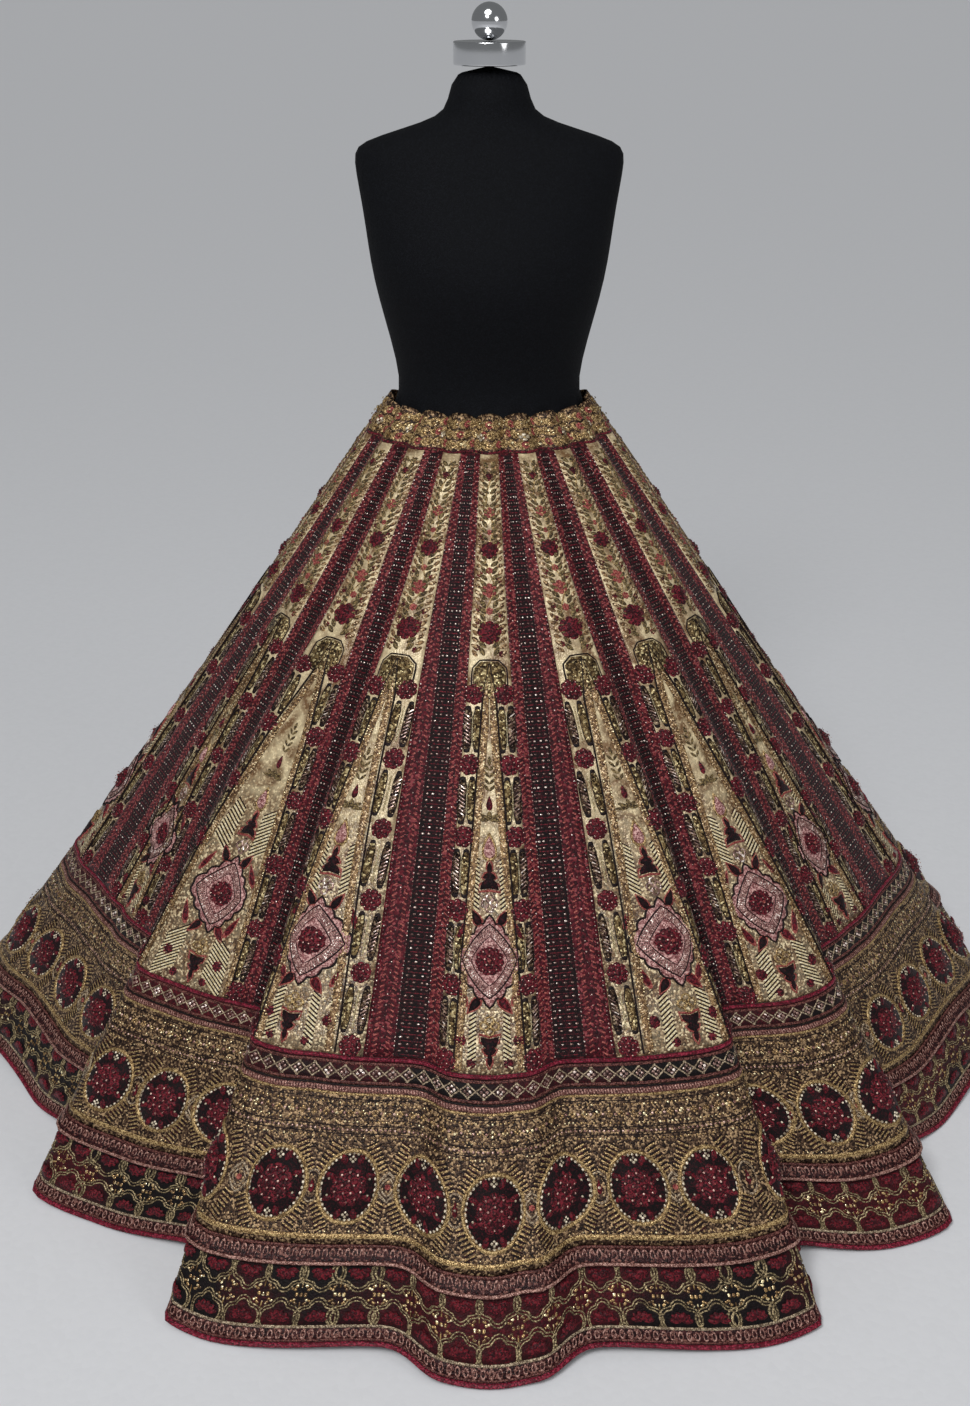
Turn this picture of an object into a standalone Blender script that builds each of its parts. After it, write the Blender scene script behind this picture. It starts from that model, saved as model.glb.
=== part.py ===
"""A kalidar lehenga skirt standing on a limbless dress form.

The cloth is one surface, cut into its pieces. A place on it is given by two cloth coordinates:
turn, counted in kalis round from the middle of the front kali, and down, the distance in metres
down the slant from the waist seam. Every wall of cloth is made from points of that surface.
"""

import math

import bmesh
import bpy
from mathutils import Vector

# Overall sizes of the skirt, in metres
KALIS = 18
WAIST_HALF_WIDTH = 0.163
WAIST_HALF_DEPTH = 0.137
HEM_RADIUS = 0.800
SEAM_HEIGHT = 0.915
HEM_HEIGHT = 0.003
HEM_LIFT = 0.012
SLANT = math.hypot(HEM_RADIUS - (WAIST_HALF_WIDTH + WAIST_HALF_DEPTH) / 2, SEAM_HEIGHT - HEM_HEIGHT)

# Lengths down the slant, from the waist seam to the hem
KALI_LENGTH = 0.775
PIPING_WIDTH = 0.006
LATTICE_WIDTH = 0.028
GOLD_WIDTH = 0.190
TRIM_WIDTH = 0.025
HEM_TRIM_WIDTH = 0.019
LATTICE_TOP = KALI_LENGTH + PIPING_WIDTH
GOLD_TOP = LATTICE_TOP + LATTICE_WIDTH
TRIM_TOP = GOLD_TOP + GOLD_WIDTH
TRIM_END = TRIM_TOP + TRIM_WIDTH
HEM_PIPING_TOP = SLANT - PIPING_WIDTH
HEM_TRIM_TOP = HEM_PIPING_TOP - HEM_TRIM_WIDTH

# Waistband
BAND_HEIGHT = 0.045
BAND_SCALLOP = 0.011
BAND_PLEAT = 0.013
BAND_DRAWN_AT = 0.034

# Cloth and cord thicknesses, and how far each stands out from the surface
CLOTH = 0.0020
GAP = 0.0003
PIPING_DEPTH = 0.0045
TRIM_FLARE = 0.006
MEDALLION_AT = 0.655
MEDALLION_RISE = 0.006

# Share of a kali's pitch that its gold gore fills on each side of its middle, at the waist and below
GORE_SHARE_WAIST = 0.22
GORE_SHARE_HEM = 0.31
STRIPE_FLOOR = 0.32
WAIST_PLEAT = 0.010
GORE_ROWS = 7
GOLD_ROWS = 2
FLOUNCE_ROWS = 2
SIDE_KALI = 4

# Folds at the hem, a row for each kali from the front to the back. Each row holds the azimuth in
# degrees and the hem radius in metres of three lines: the kali's middle, the edge where the cloth
# turns into the fold, and the groove of the fold.
RIGHT_FOLDS = (
    (0.0, 0.813, 4.0, 0.808, 9.4, 0.773),
    (25.0, 0.820, 28.6, 0.822, 32.0, 0.703),
    (42.0, 0.782, 47.5, 0.808, 53.0, 0.695),
    (62.5, 0.724, 66.5, 0.735, 72.5, 0.757),
    (84.0, 0.818, 87.5, 0.800, 91.5, 0.705),
    (102.0, 0.815, 106.0, 0.805, 112.0, 0.770),
    (122.5, 0.820, 127.5, 0.806, 131.5, 0.702),
    (142.0, 0.812, 145.5, 0.805, 151.5, 0.770),
    (162.0, 0.820, 167.0, 0.805, 171.0, 0.705),
)
LEFT_FOLDS = (
    (0.0, 0.813, 4.0, 0.808, 9.4, 0.772),
    (25.0, 0.812, 28.4, 0.812, 31.8, 0.700),
    (43.5, 0.742, 51.0, 0.774, 56.5, 0.683),
    (66.0, 0.712, 69.5, 0.722, 75.5, 0.750),
    (87.0, 0.838, 91.0, 0.810, 94.5, 0.710),
    (104.0, 0.810, 108.0, 0.800, 114.0, 0.770),
    (124.0, 0.820, 129.0, 0.805, 133.0, 0.700),
    (143.0, 0.812, 147.0, 0.805, 152.5, 0.770),
    (162.5, 0.820, 167.5, 0.806, 171.5, 0.705),
)
BACK_MIDDLE = (180.0, 0.815)
EDGE_TURN = 0.2
GROOVE_TURN = 0.5
FOLD_GROWTH = 1.9
FOLDS_SET_BY = 0.55
PLEATS_GONE_BY = 0.45
NEARBY = 0.002


def seat_half(waist_half):
    """Half width or depth of the form where the band's pleats are drawn against it."""
    drawn_in = (HEM_RADIUS - waist_half) * BAND_DRAWN_AT / SLANT
    floor_turn = 0.5 - (0.5 - GORE_SHARE_WAIST) * STRIPE_FLOOR
    pleat_in = -WAIST_PLEAT / 2.0 * math.cos(2.0 * math.pi * floor_turn)
    drawn_deeper = (BAND_PLEAT - WAIST_PLEAT) * math.sin(math.pi * floor_turn) ** 2
    return waist_half - drawn_in - pleat_in - drawn_deeper - GAP


SEAT_HEIGHT = SEAM_HEIGHT + (SEAM_HEIGHT - HEM_HEIGHT) * BAND_DRAWN_AT / SLANT

# Dress form: a row for each level, with height, half width, half depth and how far it sits forward
TORSO_SEGMENTS = 36
TORSO_LEVELS = (
    (0.740, 0.1560, 0.1120, 0.000),
    (0.800, 0.1660, 0.1200, 0.000),
    (0.860, 0.1600, 0.1180, 0.000),
    (0.915, 0.1430, 0.1130, 0.000),
    (SEAT_HEIGHT, seat_half(WAIST_HALF_WIDTH), seat_half(WAIST_HALF_DEPTH), 0.000),
    (0.965, 0.1200, 0.0930, 0.000),
    (1.010, 0.1250, 0.0950, 0.004),
    (1.070, 0.1400, 0.1080, 0.014),
    (1.120, 0.1520, 0.1200, 0.020),
    (1.165, 0.1590, 0.1160, 0.018),
    (1.210, 0.1660, 0.1000, 0.008),
    (1.250, 0.1750, 0.0820, 0.000),
    (1.275, 0.1790, 0.0660, 0.000),
    (1.288, 0.1680, 0.0600, 0.000),
    (1.303, 0.1150, 0.0560, 0.000),
    (1.318, 0.0640, 0.0520, 0.000),
    (1.335, 0.0520, 0.0500, 0.000),
    (1.379, 0.0456, 0.0456, 0.000),
)
NECK_CAP_RADIUS = 0.0456
NECK_CAP_HEIGHT = 0.0280
FINIAL_RADIUS = 0.0225
POLE_RADIUS = 0.0125
BASE_RADIUS = 0.1700
BASE_THICKNESS = 0.0140
BASE_EDGE = 0.0040


def smooth_step(share):
    """Ease from 0 to 1."""
    share = min(1.0, max(0.0, share))
    return share * share * (3.0 - 2.0 * share)


class FoldLine:
    """A smooth curve through one side's folds that never overshoots them."""

    def __init__(self, rows, column, level_ends):
        self.turns = []
        self.values = []
        for kali, row in enumerate(rows):
            self.turns += [kali, kali + EDGE_TURN, kali + GROOVE_TURN]
            self.values += [row[column], row[column + 2], row[column + 4]]
        self.turns.append(len(rows))
        self.values.append(BACK_MIDDLE[column])
        self.slopes = self.find_slopes(level_ends)

    def find_slopes(self, level_ends):
        gaps = [after - before for before, after in zip(self.turns, self.turns[1:])]
        rises = [after - before for before, after in zip(self.values, self.values[1:])]
        steps = [rise / gap for rise, gap in zip(rises, gaps)]
        slopes = [0.0 if level_ends else steps[0]]
        for left, right, gap_left, gap_right in zip(steps, steps[1:], gaps, gaps[1:]):
            if left * right <= 0.0:
                slopes.append(0.0)
                continue
            weight_left = 2.0 * gap_right + gap_left
            weight_right = gap_right + 2.0 * gap_left
            slopes.append((weight_left + weight_right) / (weight_left / left + weight_right / right))
        slopes.append(0.0 if level_ends else steps[-1])
        return slopes

    def at(self, turn):
        place = 0
        while place < len(self.turns) - 2 and turn > self.turns[place + 1]:
            place += 1
        gap = self.turns[place + 1] - self.turns[place]
        share = (turn - self.turns[place]) / gap
        rest = 1.0 - share
        return (
            (1.0 + 2.0 * share) * rest ** 2 * self.values[place]
            + share * rest ** 2 * gap * self.slopes[place]
            + share ** 2 * (3.0 - 2.0 * share) * self.values[place + 1]
            - share ** 2 * rest * gap * self.slopes[place + 1]
        )


AZIMUTHS = {1: FoldLine(RIGHT_FOLDS, 0, False), -1: FoldLine(LEFT_FOLDS, 0, False)}
HEM_RADII = {1: FoldLine(RIGHT_FOLDS, 1, True), -1: FoldLine(LEFT_FOLDS, 1, True)}


def ellipse_radius(azimuth, half_width, half_depth):
    """Distance from the middle to an ellipse, with azimuth 0 at the front."""
    across = half_width * math.cos(azimuth)
    along = half_depth * math.sin(azimuth)
    return half_width * half_depth / math.hypot(across, along)


def azimuth_at(turn, share):
    """Azimuth of a cloth coordinate: even at the waist, and gathered into the folds lower down."""
    side = 1 if turn >= 0.0 else -1
    even = 360.0 / KALIS * turn
    folded = side * AZIMUTHS[side].at(abs(turn))
    return math.radians(even + (folded - even) * smooth_step(share / FOLDS_SET_BY))


def surface_point(turn, down):
    """Point of the cloth's inner face."""
    turn = (turn + KALIS / 2.0) % KALIS - KALIS / 2.0
    share = down / SLANT
    azimuth = azimuth_at(turn, share)
    waist = ellipse_radius(azimuth, WAIST_HALF_WIDTH, WAIST_HALF_DEPTH)
    radius = waist + (HEM_RADIUS - waist) * share
    side = 1 if turn >= 0.0 else -1
    fold = HEM_RADII[side].at(abs(turn)) - HEM_RADIUS
    radius += fold * max(0.0, share) ** FOLD_GROWTH
    pleat_left = 1.0 - smooth_step(share / PLEATS_GONE_BY)
    radius += WAIST_PLEAT / 2.0 * math.cos(2.0 * math.pi * turn) * pleat_left
    if share < 0.0:
        drawn = math.sin(math.pi / 2.0 * min(1.0, -down / BAND_DRAWN_AT))
        deeper = (BAND_PLEAT - WAIST_PLEAT) * drawn
        radius -= deeper * math.sin(math.pi * turn) ** 2
    height = SEAM_HEIGHT + (HEM_HEIGHT - SEAM_HEIGHT) * share
    height += HEM_LIFT * math.sin(math.pi * turn) ** 2 * max(0.0, share) ** 4
    return Vector((radius * math.sin(azimuth), -radius * math.cos(azimuth), height))


def cloth_point(turn, down, out):
    """Point that stands a distance out from the cloth's inner face, square to it."""
    across = surface_point(turn + NEARBY, down) - surface_point(turn - NEARBY, down)
    along = surface_point(turn, down + NEARBY) - surface_point(turn, down - NEARBY)
    normal = along.cross(across).normalized()
    return surface_point(turn, down) + normal * out


def turn_gap(turn, down):
    """Half a seam's gap, as a cloth coordinate."""
    across = surface_point(turn + NEARBY, down) - surface_point(turn - NEARBY, down)
    return GAP * NEARBY / across.length


def gore_share(down):
    """Half the width of a gold gore, as a share of the kali pitch."""
    ease = smooth_step(down / KALI_LENGTH)
    return GORE_SHARE_WAIST + (GORE_SHARE_HEM - GORE_SHARE_WAIST) * ease


def gore_columns(down):
    """Columns across a gold gore, from its left edge to its right edge."""
    half = gore_share(down)
    return [-half, -half / 2.0, 0.0, half / 2.0, half]


def stripe_columns(down):
    """Columns across a maroon stripe, from one gore's edge to the next."""
    half = gore_share(down)
    floor = (0.5 - half) * STRIPE_FLOOR
    return [half, 0.5 - floor, 0.5 + floor, 1.0 - half]


def ring_columns(down):
    """Columns of a band that goes all the way round."""
    unit = gore_columns(down) + stripe_columns(down)[1:3]
    first = -KALIS // 2
    return [first + kali + column for kali in range(KALIS) for column in unit]


def half_columns(start, end):
    """Columns of a band from one side seam to the other."""
    turns = ring_columns(KALI_LENGTH)
    turns += [turn + KALIS for turn in turns]
    return [turn for turn in turns if start - NEARBY < turn < end + NEARBY]


def even_rows(top, bottom, count):
    """Levels down the slant, with half a seam's gap left at each end."""
    top += GAP / 2.0
    bottom -= GAP / 2.0
    return [top + (bottom - top) * row / count for row in range(count + 1)]


PARTS = bpy.data.collections.new("Lehenga skirt on a dress form")


def make_finish(name, colour, roughness, metallic=0.0):
    """Principled material."""
    material = bpy.data.materials.new(name)
    material.use_nodes = True
    shader = material.node_tree.nodes["Principled BSDF"]
    shader.inputs["Base Color"].default_value = (*colour, 1.0)
    shader.inputs["Roughness"].default_value = roughness
    shader.inputs["Metallic"].default_value = metallic
    return material


def add_object(name, bm, finish):
    """Turn a bmesh into a named object with outward faces."""
    bmesh.ops.recalc_face_normals(bm, faces=bm.faces[:])
    if bm.calc_volume(signed=True) < 0.0:
        bmesh.ops.reverse_faces(bm, faces=bm.faces[:])
    mesh = bpy.data.meshes.new(name)
    bm.to_mesh(mesh)
    bm.free()
    mesh.materials.append(finish)
    piece = bpy.data.objects.new(name, mesh)
    PARTS.objects.link(piece)
    return piece


def thicken(bm, move):
    """Add the outer face and the edges of a wall, and move the new face by the given function."""
    sheet = bm.verts[:] + bm.edges[:] + bm.faces[:]
    grown = bmesh.ops.extrude_face_region(bm, geom=sheet, use_keep_orig=True)
    for item in grown["geom"]:
        if isinstance(item, bmesh.types.BMVert):
            item.co = move(item.co)


def place_wall(bm, grid_place, columns_round, place):
    """Move a wall's grid to its real points.

    The faces along its edges are split the same way on every wall, so that seams stay parallel.
    """
    places = {vertex: grid_place(vertex.co) for vertex in bm.verts}
    for face in bm.faces[:]:
        corners = [(places[vertex], vertex) for vertex in face.verts]
        if len({corner[2] for corner, _ in corners}) == 1:
            continue
        if columns_round and {corner[0] for corner, _ in corners} == {0, columns_round - 1}:
            corners = [((corner[0] or columns_round, *corner[1:]), vertex) for corner, vertex in corners]
        inner = min((corner[:2], vertex.index, vertex) for corner, vertex in corners if corner[2] == 0)
        outer = max((corner[:2], vertex.index, vertex) for corner, vertex in corners if corner[2] == 1)
        bmesh.utils.face_split(face, inner[2], outer[2])
    for vertex, (column, row, side) in places.items():
        vertex.co = place(column, row, side)


def panel_wall(name, finish, columns, rows, place):
    """Wall of cloth from one column to another. place gives the point of a column, row and face."""
    bm = bmesh.new()
    bmesh.ops.create_grid(bm, x_segments=columns, y_segments=rows, size=0.5)
    for vertex in bm.verts:
        vertex.co = ((vertex.co.x + 0.5) * columns, (vertex.co.y + 0.5) * rows, 0.0)
    thicken(bm, lambda co: co + Vector((0.0, 0.0, 1.0)))
    place_wall(bm, lambda co: (round(co.x), round(co.y), round(co.z)), 0, place)
    return add_object(name, bm, finish)


def stack_rings(segments, count):
    """Tube of rings of radius 1, each 1 below the last, to be moved to its real places."""
    bm = bmesh.new()
    bmesh.ops.create_circle(bm, cap_ends=False, radius=1.0, segments=segments)
    edges = bm.edges[:]
    for _ in range(count - 1):
        grown = bmesh.ops.extrude_edge_only(bm, edges=edges)["geom"]
        edges = [item for item in grown if isinstance(item, bmesh.types.BMEdge)]
        for item in grown:
            if isinstance(item, bmesh.types.BMVert):
                item.co.z -= 1.0
    return bm


def ring_wall(name, finish, turns, levels, faces):
    """Wall of cloth that goes all the way round, with a column at each of the turns.

    levels holds a function for each level, which gives the distance down the slant at a turn.
    faces holds how far the inner and the outer face stand out at each level.
    """
    bm = stack_rings(len(turns), len(levels))
    thicken(bm, lambda co: Vector((co.x * 2.0, co.y * 2.0, co.z)))

    def grid_place(co):
        column = round(math.atan2(co.x, co.y) / (2.0 * math.pi) * len(turns)) % len(turns)
        return column, round(-co.z), round(math.hypot(co.x, co.y)) - 1

    def place(column, level, face):
        return cloth_point(turns[column], levels[level](turns[column]), faces[level][face])

    place_wall(bm, grid_place, len(turns), place)
    return add_object(name, bm, finish)


def border_ring(name, finish, downs, faces):
    """Ring wall below the gores, whose levels lie at the same distance down the slant all round."""
    levels = [lambda turn, down=down: down for down in downs]
    return ring_wall(name, finish, ring_columns(KALI_LENGTH), levels, faces)


def border_halves(name, finish, downs, faces):
    """Band in two lengths, front and back, joined at the side seams."""
    seam = SIDE_KALI + gore_share(KALI_LENGTH)
    for side, start, end in (("front", -seam, seam), ("back", seam, KALIS - seam)):
        turns = half_columns(start, end)
        last = len(turns) - 1

        def place(column, row, face):
            inward = {0: 1.0, last: -1.0}.get(column, 0.0)
            turn = turns[column] + inward * turn_gap(turns[column], downs[row])
            return cloth_point(turn, downs[row], faces[row][face])

        panel_wall(f"{name}_{side}", finish, last, len(downs) - 1, place)


def make_gore(name, finish, kali):
    """Gold gore with its medallion raised in the outer face."""
    rows = even_rows(0.0, KALI_LENGTH, GORE_ROWS)
    medallion_row = min(range(len(rows)), key=lambda row: abs(rows[row] - MEDALLION_AT))

    def place(column, row, face):
        turn = kali + gore_columns(rows[row])[column]
        inward = {0: 1.0, 4: -1.0}.get(column, 0.0)
        turn += inward * turn_gap(turn, rows[row])
        rise = MEDALLION_RISE if (column, row) == (2, medallion_row) else 0.0
        return cloth_point(turn, rows[row], face * (CLOTH + rise))

    return panel_wall(name, finish, 4, GORE_ROWS, place)


def make_stripe(name, finish, kali):
    """Maroon stripe between a gore and the next one."""
    rows = even_rows(0.0, KALI_LENGTH, GORE_ROWS)

    def place(column, row, face):
        turn = kali + stripe_columns(rows[row])[column]
        inward = {0: 1.0, 3: -1.0}.get(column, 0.0)
        turn += inward * turn_gap(turn, rows[row])
        return cloth_point(turn, rows[row], face * CLOTH)

    return panel_wall(name, finish, 3, GORE_ROWS, place)


def make_waistband(name, finish):
    """Drawn band whose upper edge rises in a scallop over each kali."""
    def upper_edge(turn):
        return -(BAND_HEIGHT + BAND_SCALLOP * abs(math.cos(math.pi * turn)))

    def drawn_line(turn):
        return -BAND_DRAWN_AT

    def lower_edge(turn):
        return -GAP / 2.0

    levels = [upper_edge, drawn_line, lower_edge]
    return ring_wall(name, finish, ring_columns(0.0), levels, [(0.0, CLOTH)] * len(levels))


def make_torso(name, finish):
    """Smooth closed body of a dress form, lofted through its levels and closed at both ends."""
    bm = stack_rings(TORSO_SEGMENTS, len(TORSO_LEVELS))
    bmesh.ops.holes_fill(bm, edges=[edge for edge in bm.edges if edge.is_boundary], sides=0)
    for vertex in bm.verts:
        height, half_width, half_depth, forward = TORSO_LEVELS[round(-vertex.co.z)]
        azimuth = math.atan2(vertex.co.x, -vertex.co.y)
        radius = ellipse_radius(azimuth, half_width, half_depth)
        vertex.co = (radius * math.sin(azimuth), -radius * math.cos(azimuth) - forward, height)
    return add_object(name, bm, finish)


def add_cylinder(name, finish, radius, bottom, top, segments, edge=0.0):
    """Upright cylinder, with rounded rims where edge is given."""
    bpy.ops.mesh.primitive_cylinder_add(
        vertices=segments, radius=radius, depth=top - bottom, location=(0.0, 0.0, (bottom + top) / 2.0)
    )
    return adopt_primitive(name, finish, edge)


def add_ball(name, finish, radius, height):
    """Sphere centred on the axis."""
    bpy.ops.mesh.primitive_uv_sphere_add(
        segments=16, ring_count=10, radius=radius, location=(0.0, 0.0, height)
    )
    return adopt_primitive(name, finish, 0.0)


def adopt_primitive(name, finish, edge):
    """Name the new primitive, give it its finish and move it to the skirt's collection."""
    piece = bpy.context.object
    piece.name = name
    piece.data.name = name
    piece.data.materials.append(finish)
    for collection in piece.users_collection[:]:
        collection.objects.unlink(piece)
    PARTS.objects.link(piece)
    if edge:
        bevel = piece.modifiers.new("Rounded rims", "BEVEL")
        bevel.width = edge
        bevel.segments = 1
    piece.data.shade_smooth()
    return piece


def build_skirt():
    """Cut and sew the skirt's pieces, from the waist to the hem."""
    gold = make_finish("Embroidered gold satin", (0.52, 0.38, 0.20), 0.55, 0.1)
    maroon = make_finish("Beaded maroon velvet", (0.20, 0.015, 0.03), 0.7)
    red = make_finish("Red satin piping", (0.26, 0.01, 0.02), 0.45)
    dark = make_finish("Dark lattice band", (0.06, 0.02, 0.02), 0.6)
    border = make_finish("Sequinned gold border", (0.28, 0.19, 0.09), 0.5, 0.2)
    pink = make_finish("Pink beaded trim", (0.42, 0.22, 0.17), 0.5)
    flounce = make_finish("Dark velvet flounce", (0.05, 0.01, 0.015), 0.8)
    band = make_finish("Gathered gold band", (0.26, 0.18, 0.09), 0.55, 0.1)

    make_waistband("waistband", band)
    for kali in range(KALIS):
        make_gore(f"kali_{kali + 1:02d}", gold, kali)
        make_stripe(f"stripe_{kali + 1:02d}", maroon, kali)

    over = (0.0, CLOTH)
    flared = (TRIM_FLARE, TRIM_FLARE + CLOTH)
    under = (-GAP - CLOTH, -GAP)
    cord = (0.0, PIPING_DEPTH)
    low_cord = (-GAP - CLOTH, CLOTH)
    border_ring("border_piping", red, even_rows(KALI_LENGTH, LATTICE_TOP, 2), [over, cord, over])
    border_ring("border_lattice", dark, even_rows(LATTICE_TOP, GOLD_TOP, 1), [over] * 2)
    gold_rows = even_rows(GOLD_TOP, TRIM_TOP, GOLD_ROWS)
    border_halves("border_gold", border, gold_rows, [over] * len(gold_rows))
    border_ring("border_trim", pink, even_rows(TRIM_TOP, TRIM_END, 1), [over, flared])
    flounce_rows = even_rows(TRIM_TOP, HEM_TRIM_TOP, FLOUNCE_ROWS)
    border_halves("flounce", flounce, flounce_rows, [under] * len(flounce_rows))
    border_halves("hem_trim", pink, even_rows(HEM_TRIM_TOP, HEM_PIPING_TOP, 1), [under] * 2)
    border_halves("hem_piping", red, even_rows(HEM_PIPING_TOP, SLANT, 1), [under, low_cord])


def build_form():
    """Stand the dress form on its foot."""
    jersey = make_finish("Black jersey", (0.012, 0.012, 0.014), 0.75)
    chrome = make_finish("Polished chrome", (0.75, 0.75, 0.77), 0.12, 1.0)
    steel = make_finish("Black painted steel", (0.02, 0.02, 0.022), 0.4)
    torso_bottom = TORSO_LEVELS[0][0]
    neck_top = TORSO_LEVELS[-1][0]
    cap_top = neck_top + GAP + NECK_CAP_HEIGHT

    make_torso("form_torso", jersey)
    add_cylinder("neck_cap", chrome, NECK_CAP_RADIUS, neck_top + GAP, cap_top, 32, BASE_EDGE / 2.0)
    add_ball("finial", chrome, FINIAL_RADIUS, cap_top + GAP + FINIAL_RADIUS)
    add_cylinder("stand_pole", steel, POLE_RADIUS, BASE_THICKNESS + GAP, torso_bottom - GAP, 16)
    add_cylinder("stand_base", steel, BASE_RADIUS, 0.0, BASE_THICKNESS, 32, BASE_EDGE)


for old in bpy.data.objects[:]:
    bpy.data.objects.remove(old, do_unlink=True)
bpy.context.scene.collection.children.link(PARTS)
build_skirt()
build_form()
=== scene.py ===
"""The look of a kalidar lehenga skirt that stands on a limbless dress form.

The cloth is one surface. A place on it is given by cloth coordinates: turn, counted in kalis
round from the middle of the front kali, down, the distance in metres down the slant from the waist
seam, and out, the distance in metres that something stands out from the cloth's inner face.
Embroidery is modelled flat, with x across, y up the skirt and z out, and is then laid on the cloth.
"""

import math

import bmesh
import bpy
import numpy as np
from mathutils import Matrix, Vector


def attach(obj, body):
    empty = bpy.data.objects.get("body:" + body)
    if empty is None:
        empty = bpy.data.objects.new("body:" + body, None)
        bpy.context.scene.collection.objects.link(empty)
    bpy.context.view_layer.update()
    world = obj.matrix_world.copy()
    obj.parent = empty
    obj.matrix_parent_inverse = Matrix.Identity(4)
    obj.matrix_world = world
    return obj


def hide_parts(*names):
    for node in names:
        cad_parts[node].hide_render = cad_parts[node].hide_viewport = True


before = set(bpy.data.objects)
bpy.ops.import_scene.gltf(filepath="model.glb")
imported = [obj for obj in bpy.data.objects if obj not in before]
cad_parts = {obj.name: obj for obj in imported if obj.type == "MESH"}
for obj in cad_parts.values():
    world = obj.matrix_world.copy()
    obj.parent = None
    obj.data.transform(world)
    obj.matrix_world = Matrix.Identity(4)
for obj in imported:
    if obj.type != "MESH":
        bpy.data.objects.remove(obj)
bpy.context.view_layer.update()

# Sizes in metres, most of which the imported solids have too
KALIS = 18
WAIST_HALF_WIDTH = 0.163
WAIST_HALF_DEPTH = 0.137
HEM_RADIUS = 0.800
SEAM_HEIGHT = 0.915
HEM_HEIGHT = 0.003
HEM_LIFT = 0.012
SLANT = math.hypot(HEM_RADIUS - (WAIST_HALF_WIDTH + WAIST_HALF_DEPTH) / 2, SEAM_HEIGHT - HEM_HEIGHT)
KALI_LENGTH = 0.775
PIPING_WIDTH = 0.006
LATTICE_TOP = KALI_LENGTH + PIPING_WIDTH
GOLD_TOP = LATTICE_TOP + 0.028
TRIM_TOP = GOLD_TOP + 0.190
TRIM_END = TRIM_TOP + 0.025
HEM_PIPING_TOP = SLANT - PIPING_WIDTH
HEM_TRIM_TOP = HEM_PIPING_TOP - 0.019
BAND_HEIGHT = 0.045
BAND_SCALLOP = 0.011
BAND_PLEAT = 0.013
BAND_DRAWN_AT = 0.034
CLOTH = 0.0020
SHELL = 0.0015
GAP = 0.0003
PIPING_DEPTH = 0.0045
TRIM_FLARE = 0.006
GORE_SHARE_WAIST = 0.22
GORE_SHARE_HEM = 0.31
WAIST_PLEAT = 0.010
SIDE_KALI = 4
EDGE_TURN = 0.2
GROOVE_TURN = 0.5
FOLD_GROWTH = 1.9
FOLDS_SET_BY = 0.55
PLEATS_GONE_BY = 0.45
NEARBY = 0.002
BAND_COLUMNS = 24
RING_STEPS = 650

# Folds at the hem, a row for each kali from the front to the back. Each row holds the azimuth in
# degrees and the hem radius of three lines: the kali's middle, the edge where the cloth turns into
# the fold, and the groove of the fold.
RIGHT_FOLDS = (
    (0.0, 0.813, 4.0, 0.808, 9.4, 0.773),
    (25.0, 0.820, 28.6, 0.822, 32.0, 0.703),
    (42.0, 0.782, 47.5, 0.808, 53.0, 0.695),
    (62.5, 0.724, 66.5, 0.735, 72.5, 0.757),
    (84.0, 0.818, 87.5, 0.800, 91.5, 0.705),
    (102.0, 0.815, 106.0, 0.805, 112.0, 0.770),
    (122.5, 0.820, 127.5, 0.806, 131.5, 0.702),
    (142.0, 0.812, 145.5, 0.805, 151.5, 0.770),
    (162.0, 0.820, 167.0, 0.805, 171.0, 0.705),
)
LEFT_FOLDS = (
    (0.0, 0.813, 4.0, 0.808, 9.4, 0.772),
    (25.0, 0.812, 28.4, 0.812, 31.8, 0.700),
    (43.5, 0.742, 51.0, 0.774, 56.5, 0.683),
    (66.0, 0.712, 69.5, 0.722, 75.5, 0.750),
    (87.0, 0.838, 91.0, 0.810, 94.5, 0.710),
    (104.0, 0.810, 108.0, 0.800, 114.0, 0.770),
    (124.0, 0.820, 129.0, 0.805, 133.0, 0.700),
    (143.0, 0.812, 147.0, 0.805, 152.5, 0.770),
    (162.5, 0.820, 167.5, 0.806, 171.5, 0.705),
)
BACK_MIDDLE = (180.0, 0.815)

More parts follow.
